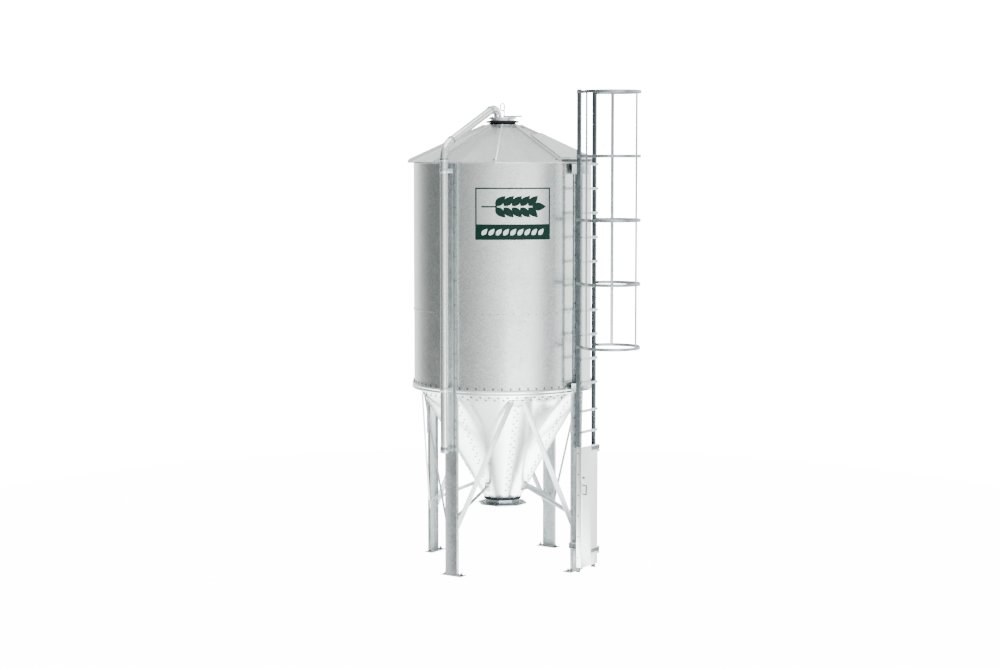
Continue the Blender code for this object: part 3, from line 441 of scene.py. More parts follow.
def dress(obj: bpy.types.Object, replaces: tuple[str, ...], body: Body,
          rounding: float, smooth_deg: float, rounding_deg: float) -> None:
    """Round and shade an object, put it on its CAD body and hide the CAD nodes that it stands for.
    """
    if rounding:
        bevel = obj.modifiers.new("rounding", "BEVEL")
        bevel.width = rounding
        bevel.segments = 2
        bevel.limit_method = "ANGLE"
        bevel.angle_limit = math.radians(rounding_deg)
        bevel.harden_normals = True
    else:
        obj.data.set_sharp_from_angle(angle=math.radians(smooth_deg))
    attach(obj, body.value)
    if replaces:
        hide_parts(*replaces)
    LOG.info("%s: %d faces", obj.name, len(obj.data.polygons))


def dressed_copy(node: str, name: str, finish: bpy.types.Material,
                 rounding: float = 0.0015, body: Body = Body.SILO) -> bpy.types.Object:
    """Stand a copy of a CAD solid in for it, with rounded edges.

    Args:
        node: the CAD node.
        name: the new piece's name.
        finish: its material.
        rounding: width of the rounding on its edges.
        body: the CAD body that it rides on.

    Returns:
        The placed object.
    """
    mesh = bmesh.new()
    mesh.from_mesh(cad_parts[node].data)
    bmesh.ops.remove_doubles(mesh, verts=mesh.verts, dist=1e-5)
    bmesh.ops.dissolve_limit(mesh, angle_limit=math.radians(1.0), verts=mesh.verts,
                             edges=mesh.edges)
    data = bpy.data.meshes.new(name)
    mesh.to_mesh(data)
    mesh.free()
    data.materials.append(finish)
    data.shade_smooth()
    obj = bpy.data.objects.new(name, data)
    bpy.context.collection.objects.link(obj)
    dress(obj, (node,), body, rounding, 35.0, 30.0)
    return obj


@dataclass
class Bolts:
    """Hexagon bolts on round washers, gathered into one piece."""

    silo: "SiloFrame"
    finish: bpy.types.Material
    name: str
    body: Body = Body.SILO
    head_radius: float = 0.0085
    head_height: float = 0.0065
    washer_radius: float = 0.0125
    washer_height: float = 0.0022
    sunk: float = 0.0008
    piece: Piece = field(init=False)
    count: int = 0

    def __post_init__(self) -> None:
        """Start the piece that holds them."""
        self.piece = Piece(self.name, self.finish)

    def add(self, point: Vector, outward: Vector) -> None:
        """Add a bolt that stands on a surface.

        Args:
            point: where its washer meets the surface.
            outward: the surface's normal there.
        """
        up = outward.normalized()
        first = up.orthogonal().normalized()
        second = up.cross(first)
        turn = math.radians(37.0 * self.count)
        first, second = (first * math.cos(turn) + second * math.sin(turn),
                         second * math.cos(turn) - first * math.sin(turn))
        top = self.washer_height
        for sides, steps in ((12, ((self.washer_radius, -self.sunk), (self.washer_radius, top))),
                             (6, ((self.head_radius, top - self.sunk),
                                  (self.head_radius, top + self.head_height * 0.8),
                                  (self.head_radius * 0.86, top + self.head_height)))):
            self.piece.loft([ring_section(point + up * lift, first, second, radius, sides)
                             for radius, lift in steps])
        self.count += 1

    def place(self) -> None:
        """Turn the gathered bolts into an object."""
        self.piece.place(self.silo, None, body=self.body, smooth_deg=25.0)


# ---- The frame's main sizes


@dataclass(frozen=True)
class SiloFrame:
    """Main sizes of the silo, read from the CAD frame."""

    axis: Vector
    shell_radius: float
    shell_bottom: float
    shell_top: float
    ring_bottom: float
    ring_top: float
    hopper_bottom: float
    outlet_bottom: float
    outlet_across: float
    post_radius: float
    post_top: float

    @classmethod
    def read(cls) -> "SiloFrame":
        """Return the sizes, measured from the nodes' boxes."""
        collar_low, collar_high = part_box("roof_collar")
        middle = (collar_low + collar_high) / 2
        axis = Vector((middle.x, middle.y, 0.0))
        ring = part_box("ring_beam_1")
        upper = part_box("shell_upper_front")
        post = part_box("post_1")
        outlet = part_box("outlet_flange")
        return cls(axis=axis, shell_radius=upper[1].x - axis.x,
                   shell_bottom=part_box("shell_lower_front")[0].z, shell_top=upper[1].z,
                   ring_bottom=ring[0].z, ring_top=ring[1].z,
                   hopper_bottom=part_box("hopper_panel_1")[0].z,
                   outlet_bottom=outlet[0].z, outlet_across=outlet[1].x - outlet[0].x,
                   post_radius=axis.y - post[0].y, post_top=post[1].z)

    def local(self, node: str) -> tuple[Vector, Vector]:
        """Return a node's box about the silo's axis."""
        low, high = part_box(node)
        return low - self.axis, high - self.axis


@dataclass
class Part:
    """A sub-assembly of the silo, with its finishes."""

    silo: SiloFrame
    finishes: Finishes

    def bolts(self, name: str, finish: bpy.types.Material | None = None, body: Body = Body.SILO,
              **sizes: float) -> Bolts:
        """Return an empty set of bolts, zinc-plated unless another finish is given."""
        return Bolts(self.silo, finish or self.finishes.plated, name, body, **sizes)


# ---- Sheet metal of the body


@dataclass
class Shell(Part):
    """The rolled wall: a low course inside the foot of a tall one, bolted through their lap."""

    sheet: float = 0.0015
    seam_z: float = 3.062
    lap: float = 0.022
    course_gap: float = 0.0001
    bolt_pitch: float = 0.090
    post_half: float = 0.100
    steps: int = 256

    def build(self) -> None:
        """Build both courses and the seam's bolts."""
        radius = self.silo.shell_radius
        courses = (("lower", radius - self.sheet - self.course_gap, self.silo.shell_bottom,
                    self.seam_z + self.lap),
                   ("upper", radius, self.seam_z - self.lap, self.silo.shell_top))
        for name, outer, low, high in courses:
            piece = Piece(f"shell_{name}_course", self.finishes.sheet)
            profile = [(outer - self.sheet, low), (outer, low), (outer, high),
                       (outer - self.sheet, high)]
            piece.spin(profile, self.steps)
            piece.place(self.silo, Slot.SHEET, (f"shell_{name}_front", f"shell_{name}_back"))
        bolts = self.bolts("shell_seam_bolts", head_radius=0.0065, head_height=0.005,
                           washer_radius=0.0095, washer_height=0.0016)
        count = round(2 * math.pi * radius / self.bolt_pitch)
        for index in range(count):
            azimuth = 360.0 * (index + 0.5) / count
            aside = math.radians((azimuth + 45.0) % 90.0 - 45.0) * radius
            if abs(aside) > self.post_half:
                bolts.add(polar(azimuth, radius, self.seam_z), polar(azimuth, 1.0, 0.0))
        bolts.place()


@dataclass
class Ring(Part):
    """The beaded ring beams round the foot of the shell."""

    shell_gap: float = 0.0004
    end_clearance: float = 0.092
    bead_top: float = 2.186
    bead_count: int = 2
    bead_low: float = 0.0165
    bead_height: float = 0.0085
    bead_edge: float = 0.004
    collar_out: float = 0.0045
    bolt_z: float = 2.204
    bolt_pitch: float = 0.107
    bolt_inset_share: float = 0.35

    def outline(self) -> Profile:
        """Return the beam's profile: a flat upper strip and two rolled beads below it."""
        radius = self.silo.shell_radius
        back = radius + self.shell_gap
        points = [(back, self.silo.ring_bottom)]
        for share in spread(0.0, 1.0, 24):
            z = self.silo.ring_bottom + (self.bead_top - self.silo.ring_bottom) * share
            swell = math.sin(math.pi * self.bead_count * share) ** 2
            points.append((radius + self.bead_low + self.bead_height * swell, z))
        points += [(radius + self.collar_out, self.bead_top + self.bead_edge),
                   (radius + self.collar_out, self.silo.ring_top),
                   (back, self.silo.ring_top)]
        return points

    def build(self) -> None:
        """Build the four beams and their bolts."""
        radius = self.silo.shell_radius
        end_deg = math.degrees(self.end_clearance / radius)
        bolts = self.bolts("ring_bolts", self.finishes.rail)
        count = round(math.radians(90.0 - 2 * end_deg) * radius / self.bolt_pitch)
        for number in range(4):
            azimuths = spread(90.0 * number + end_deg, 90.0 * (number + 1) - end_deg, 56)
            piece = Piece(f"beaded_ring_{number + 1}", self.finishes.sheet)
            piece.loft(turned(self.outline(), azimuths))
            piece.place(self.silo, Slot.DIPPED, (f"ring_beam_{number + 1}",), smooth_deg=40.0)
            inset = end_deg * self.bolt_inset_share
            for azimuth in spread(azimuths[0] + inset, azimuths[-1] - inset, count):
                bolts.add(polar(azimuth, radius + self.collar_out, self.bolt_z),
                          polar(azimuth, 1.0, 0.0))
        bolts.place()


@dataclass
class Hopper(Part):
    """The bolted hopper: a cone of 60 degrees with a soft triangular flat in each eighth."""

    bottom_radius: float = 0.2245
    bottom_reference: float = 0.80
    slope: float = 0.583
    flat_apex: float = 1.58
    flat_widest: float = 2.06
    flat_end: float = 2.22
    flat_half_deg: float = 12.5
    crease_softness: float = 0.16
    rim_z: float = 2.20
    wall: float = 0.003
    strap_width: float = 0.070
    strap_lift: float = 0.0016
    strap_inset: float = 0.02
    ridge_bolt_pitch: float = 0.100
    ridge_bolt_aside: float = 0.0175
    ring_bolt_levels: tuple[float, float] = (2.092, 2.060)
    ring_bolt_pitch: float = 0.107
    post_half_deg: float = 4.6
    ridge_bolt_low: float = 0.90
    ridge_bolt_high: float = 2.00

    def cone(self, z: float) -> float:
        """Return the plain cone's radius at a height."""
        return self.bottom_radius + (z - self.bottom_reference) * self.slope

    def radius(self, azimuth: float, z: float) -> float:
        """Return the outer radius, drawn in over the flats with soft creases.

        Args:
            azimuth: degrees round the silo.
            z: height.

        Returns:
            The radius in metres.
        """
        rising = (z - self.flat_apex) / (self.flat_widest - self.flat_apex)
        falling = (self.flat_end - z) / (self.flat_end - self.flat_widest)
        half = self.flat_half_deg * max(0.0, min(rising, falling, 1.0))
        if half == 0.0:
            return self.cone(z)
        from_middle = (azimuth % 45.0) - 22.5
        inside = 1.0 - (from_middle / half) ** 2
        soft = (inside + math.sqrt(inside ** 2 + self.crease_softness ** 2)) / 2
        return self.cone(z) * (1.0 - math.radians(half) ** 2 / 2 * soft)

    def normal(self, azimuth: float) -> Vector:
        """Return the cone's outward normal at an azimuth."""
        return polar(azimuth, 1.0, -self.slope)

    def build(self) -> None:
        """Build the skin, the straps over its ridges and all its bolts."""
        levels = spread(self.silo.hopper_bottom, self.rim_z, 30)
        loops = []
        for azimuth in full_turn(240):
            outer = [polar(azimuth, self.radius(azimuth, z), z) for z in levels]
            inner = [polar(azimuth, self.radius(azimuth, z) - self.wall, z)
                     for z in reversed(levels)]
            loops.append(outer + inner)
        skin = Piece("hopper_skin", self.finishes.sheet)
        skin.loft(loops, closed=True)
        skin.place(self.silo, Slot.SHEET, tuple(f"hopper_panel_{k}" for k in range(1, 5)),
                   smooth_deg=50.0)
        self.build_straps()
        self.build_bolts()

    def build_straps(self) -> None:
        """Build the lap along each ridge, where two sheets overlap."""
        piece = Piece("hopper_ridge_laps", self.finishes.sheet)
        half = self.strap_width / 2
        for ridge in range(8):
            azimuth = 45.0 * ridge
            loops = []
            for z in spread(self.silo.hopper_bottom + self.strap_inset,
                            self.rim_z - self.strap_inset, 20):
                radius = self.cone(z)
                edge = math.sqrt(radius ** 2 - half ** 2)
                loops.append([polar(azimuth, edge - self.wall, z, -half),
                              polar(azimuth, edge + self.strap_lift, z, -half),
                              polar(azimuth, radius + self.strap_lift, z),
                              polar(azimuth, edge + self.strap_lift, z, half),
                              polar(azimuth, edge - self.wall, z, half)])
            piece.loft(loops)
        piece.place(self.silo, Slot.SHEET, smooth_deg=30.0)

    def build_bolts(self) -> None:
        """Build the double rows under the ring and up each ridge."""
        rim = self.bolts("hopper_rim_bolts", self.finishes.rail)
        for row, z in enumerate(self.ring_bolt_levels):
            count = round(2 * math.pi * self.cone(z) / self.ring_bolt_pitch)
            for index in range(count):
                azimuth = 360.0 * (index + 0.5 * row) / count
                if abs((azimuth + 45.0) % 90.0 - 45.0) > self.post_half_deg:
                    rim.add(polar(azimuth, self.radius(azimuth, z), z), self.normal(azimuth))
        rim.place()
        bolts = self.bolts("hopper_ridge_bolts", head_radius=0.0075, head_height=0.005,
                           washer_radius=0.011)
        slant = math.hypot(1.0, self.slope)
        for ridge in range(8):
            azimuth = 45.0 * ridge
            for column, aside in enumerate((-self.ridge_bolt_aside, self.ridge_bolt_aside)):
                z = self.ridge_bolt_low + column * self.ridge_bolt_pitch / slant / 2
                while z < self.ridge_bolt_high:
                    radius = math.sqrt(self.cone(z) ** 2 - aside ** 2) + self.strap_lift
                    bolts.add(polar(azimuth, radius, z, aside), self.normal(azimuth))
                    z += self.ridge_bolt_pitch / slant
        bolts.place()


@dataclass
class Outlet(Part):
    """The throat under the hopper: round at its top, eight-sided at its bolted flange."""

    top_radius: float = 0.2245
    throat_across: float = 0.378
    wall: float = 0.008
    plate: float = 0.012
    dark_ring_low: float = 0.768
    shade_ring_chamfer: float = 0.003
    shade_ring_lap: float = 0.002
    bolt_across: float = 0.475
    bolt_count: int = 16

    def octagon(self, azimuth: float, across: float) -> float:
        """Return the radius of an octagon, measured across its flats, at an azimuth."""
        return across / 2 / math.cos(math.radians((azimuth + 22.5) % 45.0 - 22.5))

    def build(self) -> None:
        """Build the throat with its flange, a near-black ring under the hopper that paints the
        shade there, and the flange bolts.
        """
        low = self.silo.outlet_bottom
        top = self.silo.hopper_bottom
        throat = Piece("outlet_throat", self.finishes.cage)
        loops = []
        for azimuth in full_turn(64):
            plate = self.octagon(azimuth, self.silo.outlet_across)
            outer = self.octagon(azimuth, self.throat_across)
            profile = [(outer - self.wall, low), (plate, low), (plate, low + self.plate),
                       (outer, low + self.plate), (outer, top), (outer - self.wall, top)]
            loops.append([polar(azimuth, radius, z) for radius, z in profile])
        throat.loft(loops, closed=True)
        throat.place(self.silo, Slot.SHEET, ("outlet_flange",), smooth_deg=28.0)

        # A near-black ring round the hopper's foot: painted shade under the hopper's rim
        rim = Piece("hopper_rim_painted_shade_ring", self.finishes.rubber)
        inner = self.throat_across / 2 - self.wall / 2
        shade_ring_top = top + self.shade_ring_lap
        profile = [(inner, self.dark_ring_low), (self.top_radius - self.shade_ring_chamfer, self.dark_ring_low),
                   (self.top_radius, self.dark_ring_low + self.shade_ring_chamfer),
                   (self.top_radius, shade_ring_top), (inner, shade_ring_top)]
        rim.spin(profile, 96)
        rim.place(self.silo, None, smooth_deg=40.0)

        bolts = self.bolts("outlet_bolts")
        pitch = 360.0 / self.bolt_count
        for index in range(self.bolt_count):
            azimuth = pitch * index + pitch / 2
            bolts.add(polar(azimuth, self.octagon(azimuth, self.bolt_across), low + self.plate), UP)
        bolts.place()


@dataclass
class Roof(Part):
    """The folded roof: nine segments, each creased down its middle, with a raised seam between."""

    segments: int = 9
    first_seam_deg: float = 70.0
    eave_radius: float = 1.13
    eave_z: float = 4.80
    top_radius: float = 0.150
    top_z: float = 5.25
    sheet: float = 0.0018
    drip: float = 0.013
    rib_width: float = 0.028
    rib_height: float = 0.0295
    rib_top_radius: float = 0.205
    rib_sunk: float = 0.004
    rib_from_fold: float = 0.0005
    rib_lean: float = 0.003
    rib_set_back: float = 0.001
    rib_nose: float = 0.018
    rib_nose_share: float = 0.55
    rib_tail: float = 0.02
    rib_tail_height: float = 0.002
    rib_bolt_insets: tuple[float, float] = (0.060, 0.045)
    bolt_aside: float = 0.016
    fall: float = 0.46

    def height(self, fold_radius: float) -> float:
        """Return the skin's height at a fold, at a radius."""
        slope = (self.top_z - self.eave_z) / (self.eave_radius - self.top_radius)
        return self.eave_z + (self.eave_radius - fold_radius) * slope

    def build(self) -> None:
        """Build the skin and its raised seams."""
        skin = Piece("roof_skin", self.finishes.roof)
        folds = [self.first_seam_deg + 180.0 / self.segments * k for k in range(2 * self.segments)]
        profile = [(self.eave_radius, self.eave_z), (self.top_radius, self.top_z),
                   (self.top_radius, self.top_z - self.sheet),
                   (self.eave_radius - self.sheet, self.eave_z - self.sheet),
                   (self.eave_radius - self.sheet, self.eave_z - self.drip),
                   (self.eave_radius, self.eave_z - self.drip)]
        skin.loft(turned(profile, folds), closed=True)
        nodes = tuple(f"roof_segment_{k + 1}" for k in range(self.segments))
        skin.place(self.silo, Slot.SHEET, nodes, rounding=0.004, rounding_deg=4.0)

        ribs = Piece("roof_seams", self.finishes.roof)
        bolts = self.bolts("roof_bolts")
        for number in range(self.segments):
            self.build_rib(ribs, bolts, self.first_seam_deg + 360.0 / self.segments * number)
        ribs.place(self.silo, Slot.SHEET, rounding=0.003)
        bolts.place()

    def build_rib(self, ribs: Piece, bolts: Bolts, azimuth: float) -> None:
        """Add one raised seam and its two end bolts.

        Args:
            ribs: the piece that takes the seam.
            bolts: the piece that takes the bolts.
            azimuth: the seam's place round the roof.
        """
        loops = []
        near, far = self.rib_from_fold, self.rib_width
        for radius, height in (
                (self.eave_radius - self.rib_set_back, self.rib_height * self.rib_nose_share),
                (self.eave_radius - self.rib_nose, self.rib_height),
                (self.rib_top_radius + self.rib_tail, self.rib_height),
                (self.rib_top_radius, self.rib_tail_height)):
            base = self.height(radius) - self.rib_sunk
            top = base + height + self.rib_sunk
            loops.append([polar(azimuth, radius, base, near),
                          polar(azimuth, radius, top, near + self.rib_lean),
                          polar(azimuth, radius, top, far - self.rib_lean),
                          polar(azimuth, radius, base, far)])
        ribs.loft(loops)
        upward = polar(azimuth, self.fall, 1.0)
        outer_inset, inner_inset = self.rib_bolt_insets
        for radius in (self.eave_radius - outer_inset, self.rib_top_radius + inner_inset):
            bolts.add(polar(azimuth, radius, self.height(radius), -self.bolt_aside), upward)


@dataclass
class Hatch(Part):
    """The inspection lid on the segment that faces the ladder, over a low frame."""

    roof: Roof
    inner_radius: float = 0.520
    outer_radius: float = 1.118
    edge_inset: float = 0.035
    lid_low: float = 0.024
    lid_high: float = 0.049
    frame_inset: float = 0.020
    frame_lap: float = 0.002
    hinge_shares: tuple[float, float] = (0.2, 0.8)
    knuckle_half: float = 0.035
    knuckle_radius: float = 0.009
    leaf_half: float = 0.028
    leaf_back: float = 0.004
    leaf_front: float = 0.006
    leaf_drop: float = 0.036
    leaf_rise: float = 0.004
    catch_half: float = 0.030
    catch_back: float = 0.006
    catch_front: float = 0.001
    catch_low: float = 0.040
    catch_high: float = 0.006

    def plan(self, inset: float, lift: float) -> Loop:
        """Return the lid's plan on the roof's two flats.

        Args:
            inset: how far it is drawn in.
            lift: height above the roof.

        Returns:
            Six corners from the inner right one round to the inner middle.
        """
        half_turn = math.radians(180.0 / self.roof.segments)
        facet = half_turn / 2
        inner, outer = self.inner_radius + inset, self.outer_radius - inset
        corners = []
        for radius, side in ((inner, -1), (outer, -1), (outer, 0), (outer, 1), (inner, 1),
                             (inner, 0)):
            x = radius * math.cos(half_turn) if side else radius
            y = abs(side) * (radius * math.sin(half_turn) - self.edge_inset - inset)
            across = x * math.cos(facet) + y * math.sin(facet)
            corners.append(Vector((x, side * y,
                                   self.roof.height(across / math.cos(facet)) + lift)))
        return corners

    def build(self) -> None:
        """Build the lid, the frame under it, its hinges and its catch."""
        lid = Piece("hatch_lid", self.finishes.roof)
        lid.loft([self.plan(0.0, self.lid_low), self.plan(0.0, self.lid_high)])
        lid.place(self.silo, Slot.SHEET, ("roof_hatch",), rounding=0.004, rounding_deg=12.0)
        curb = Piece("hatch_frame", self.finishes.rail)
        curb.loft([self.plan(self.frame_inset, -self.frame_lap),
                   self.plan(self.frame_inset, self.lid_low + self.frame_lap)])
        curb.place(self.silo, Slot.SHEET, rounding=0.002)
        fittings = Piece("hatch_hinges", self.finishes.plated)
        bolts = self.bolts("hatch_bolts")
        top = self.plan(0.0, self.lid_high)
        knuckle = Vector((0.0, self.knuckle_half, 0.0))
        along = Vector((1.0, 0.0, -self.roof.fall)).normalized()
        for share in self.hinge_shares:
            spot = top[0].lerp(top[4], share)
            fittings.tube([spot - knuckle, spot + knuckle], self.knuckle_radius, 12)
            # The hinge's leaf, bent down over the lid's edge
            fittings.box((spot.x - self.leaf_back, spot.y - self.leaf_half,
                          spot.z - self.leaf_drop),
                         (spot.x + self.leaf_front, spot.y + self.leaf_half,
                          spot.z + self.leaf_rise))
            bolts.add(spot + along * self.knuckle_half, Vector((self.roof.fall, 0.0, 1.0)))
        # The catch, a tab on the middle of the lid's outer edge
        catch = top[1].lerp(top[3], 0.5)
        fittings.box((catch.x - self.catch_back, -self.catch_half, catch.z - self.catch_low),
                     (catch.x + self.catch_front, self.catch_half, catch.z - self.catch_high))
        fittings.place(self.silo, None, rounding=0.002)
        bolts.place()


@dataclass
class TopCover(Part):
    """The collar, a near-black ring round it under the lid, the lid with its lever, and the lifting
    eye.
    """

    roof: Roof
    collar_radius: float = 0.145
    collar_wall: float = 0.003
    collar_top: float = 5.292
    buried: float = 0.04
    lift: float = 0.002
    bead: float = 0.001
    bead_height: float = 0.009
    skirt_radius: float = 0.188
    skirt_sheet: float = 0.004
    dark_ring_radius: float = 0.192
    dark_ring_round: float = 0.008
    dark_ring_low: float = 5.260
    dark_ring_high: float = 5.286
    lid_radius: float = 0.165
    lid_low: float = 5.306
    lid_high: float = 5.328
    lid_edge: tuple[tuple[float, float], ...] = ((0.0, 0.006), (0.004, 0.002), (0.012, 0.0))
    pin_hole: float = 0.001
    rim_inner_gap: float = 0.012
    rim_outer_gap: float = 0.006
    rim_low_lap: float = 0.002
    rim_high_lap: float = 0.001
    lever_low: float = 5.327
    lever_high: float = 5.3455
    lever_root: float = 0.030
    lever_reach: float = 0.275
    lever_half: float = 0.011
    block_root: float = 0.050
    block_end: float = 0.090
    block_half: float = 0.040
    block_sunk: float = 0.001
    block_rise: float = 0.004
    eye_half_width: float = 0.031
    eye_half_height: float = 0.044
    eye_bar: float = 0.007
    eye_z: float = 5.447
    eye_stem_x: float = 0.024
    eye_stem_sunk: float = 0.003
    bolt_inset: float = 0.024
    bolt_count: int = 8

    def build(self) -> None:
        """Build the collar, the near-black ring and the lid."""
        radius, inner = self.collar_radius, self.collar_radius - self.collar_wall
        low = self.roof.height(self.skirt_radius) + self.lift
        high = self.roof.height(radius) + self.lift
        collar = Piece("collar", self.finishes.sheet)
        profile = [(inner, high - self.buried), (radius, high - self.buried), (radius, high),
                   (self.skirt_radius, low), (self.skirt_radius, low + self.skirt_sheet),
                   (radius + self.skirt_sheet, high + self.skirt_sheet),
                   (radius + self.bead, high + self.bead_height),
                   (radius + self.bead, self.collar_top), (inner, self.collar_top)]
        collar.spin(profile, 96)
        collar.place(self.silo, Slot.SHEET, ("roof_collar",), smooth_deg=30.0)

        # A near-black ring round the collar, under the lid's edge
        dark_ring = Piece("collar_dark_ring", self.finishes.rubber)
        middle = (self.dark_ring_low + self.dark_ring_high) / 2
        half = (self.dark_ring_high - self.dark_ring_low) / 2
        straight = self.dark_ring_radius - self.dark_ring_round
        profile = [(self.collar_radius, self.dark_ring_low), (straight, self.dark_ring_low)]
        profile += [(straight + self.dark_ring_round * math.cos(turn), middle + half * math.sin(turn))
                    for turn in spread(-math.pi / 2, math.pi / 2, 8)]
        profile += [(self.collar_radius, self.dark_ring_high)]
        dark_ring.spin(profile, 96)
        dark_ring.place(self.silo, None, smooth_deg=50.0)
        self.build_lid()

    def build_lid(self) -> None:
        """Build the lid with its lever and lifting eye."""
        lid = Piece("cover_lid", self.finishes.sheet)
        profile = [(self.pin_hole, self.lid_low), (self.lid_radius, self.lid_low)]
        profile += [(self.lid_radius - inward, self.lid_high - down)
                    for inward, down in self.lid_edge]
        profile += [(self.pin_hole, self.lid_high)]
        lid.spin(profile, 96)
        inner = self.collar_radius - self.rim_inner_gap
        outer = self.collar_radius - self.rim_outer_gap
        levels = self.collar_top - self.rim_low_lap, self.lid_low + self.rim_high_lap
        rim = [(inner, levels[0]), (outer, levels[0]), (outer, levels[1]), (inner, levels[1])]
        lid.spin(rim, 64)
        lid.place(self.silo, Slot.SHEET, ("top_cover",), smooth_deg=30.0)

        lever = Piece("cover_lever", self.finishes.dipped)
        lever.box((self.lever_root, -self.lever_half, self.lever_low),
                  (self.lever_reach, self.lever_half, self.lever_high))
        # The hinge block that the lever turns in
        lever.box((self.block_root, -self.block_half, self.lid_high - self.block_sunk),
                  (self.block_end, self.block_half, self.lever_low + self.block_rise))
        lever.place(self.silo, Slot.DIPPED, rounding=0.0025)

        eye = Piece("lifting_eye", self.finishes.plated)
        loops = []
        for turn in turns(32):
            out = Vector((math.cos(turn) / self.eye_half_width, 0.0,
                          math.sin(turn) / self.eye_half_height)).normalized()
            centre = Vector((self.eye_half_width * math.cos(turn), 0.0,
                             self.eye_z + self.eye_half_height * math.sin(turn)))
            loops.append(ring_section(centre, out, Vector((0.0, 1.0, 0.0)), self.eye_bar, 12))
        eye.loft(loops, closed=True)
        drop = self.eye_half_height * math.sqrt(1 - (self.eye_stem_x / self.eye_half_width) ** 2)
        eye.tube([Vector((self.eye_stem_x, 0.0, self.lid_high - self.eye_stem_sunk)),
                  Vector((self.eye_stem_x, 0.0, self.eye_z - drop))], self.eye_bar, 14)
        eye.place(self.silo, None, smooth_deg=60.0)
        bolts = self.bolts("cover_bolts")
        half_pitch = 180.0 / self.bolt_count
        for turn_deg in full_turn(self.bolt_count):
            bolts.add(polar(turn_deg + half_pitch, self.lid_radius - self.bolt_inset,
                            self.lid_high), UP)
        bolts.place()


@dataclass
class FillingPipe(Part):
    """The filling pipe with its couplings, and the clamps that hold it."""

    radius: float = 0.0455
    wall: float = 0.003
    axis_radius: float = 1.180
    bottom_z: float = 1.460
    corner_z: float = 4.982
    drop_radius: float = 0.098
    slope_deg: float = 24.4
    end_z: float = 5.298
    bends: tuple[float, float] = (0.200, 0.095)
    sleeve_radius: float = 0.0515
    sleeve_length: float = 0.070
    joint_length: float = 0.034
    joint_gap: float = 0.025
    lip: float = 0.004
    lip_drop: float = 0.003
    lip_sunk: float = 0.001
    sides: int = 40

    def corners(self) -> Loop:
        """Return the corners of the pipe's centre line."""
        rise = (self.axis_radius - self.drop_radius) * math.tan(math.radians(self.slope_deg))
        return [Vector((0.0, -self.axis_radius, self.bottom_z)),
                Vector((0.0, -self.axis_radius, self.corner_z)),
                Vector((0.0, -self.drop_radius, self.corner_z + rise)),
                Vector((0.0, -self.drop_radius, self.end_z))]

    def build(self) -> None:
        """Build the pipe, its couplings and its clamps."""
        corners = self.corners()
        route = bent_route(corners, self.bends)
        pipe = Piece("filling_tube", self.finishes.sheet)
        outer = tube_sections(route, self.radius, self.sides)
        inner = tube_sections(route, self.radius - self.wall, self.sides)
        pipe.loft(outer + list(reversed(inner)), closed=True)
        pipe.place(self.silo, Slot.SHEET, ("filling_pipe",), smooth_deg=50.0)

        sleeves = Piece("pipe_couplings", self.finishes.plated)
        run = (corners[2] - corners[1]).normalized()
        lower, upper = [bend * math.tan(math.radians(angle / 2)) + self.joint_gap
                        for bend, angle in zip(self.bends, (90.0 - self.slope_deg,
                                                            90.0 + self.slope_deg))]
        end = UP * self.sleeve_length / 2
        self.add_sleeve(sleeves, corners[0] + end, UP, self.sleeve_length)
        for spot, along in ((corners[1] - UP * lower, UP), (corners[1] + run * lower, run),
                            (corners[2] - run * upper, run)):
            self.add_sleeve(sleeves, spot, along, self.joint_length)
        sleeves.place(self.silo, Slot.SHEET, smooth_deg=40.0)
        for number in (1, 2):
            dressed_copy(f"pipe_clamp_{number}", f"pipe_saddle_{number}", self.finishes.dipped,
                         rounding=0.001)

    def add_sleeve(self, piece: Piece, spot: Vector, along: Vector, length: float) -> None:
        """Add a coupling sleeve with rolled ends.

        Args:
            piece: the piece that takes it.
            spot: its middle.
            along: the pipe's direction there.
            length: its length.
        """
        first = along.orthogonal().normalized()
        second = along.cross(first)
        half = along * length / 2
        step = along * self.lip
        route = [spot - half, spot - half + step, spot + half - step, spot + half]
        edge = self.sleeve_radius - self.lip_drop
        outer = [ring_section(point, first, second, radius, self.sides) for point, radius in
                 zip(route, (edge, self.sleeve_radius, self.sleeve_radius, edge))]
        inner = [ring_section(point, first, second, self.radius - self.lip_sunk, self.sides)
                 for point in (route[-1], route[0])]
        piece.loft(outer + inner, closed=True)


# ---- Frame of legs, posts and braces


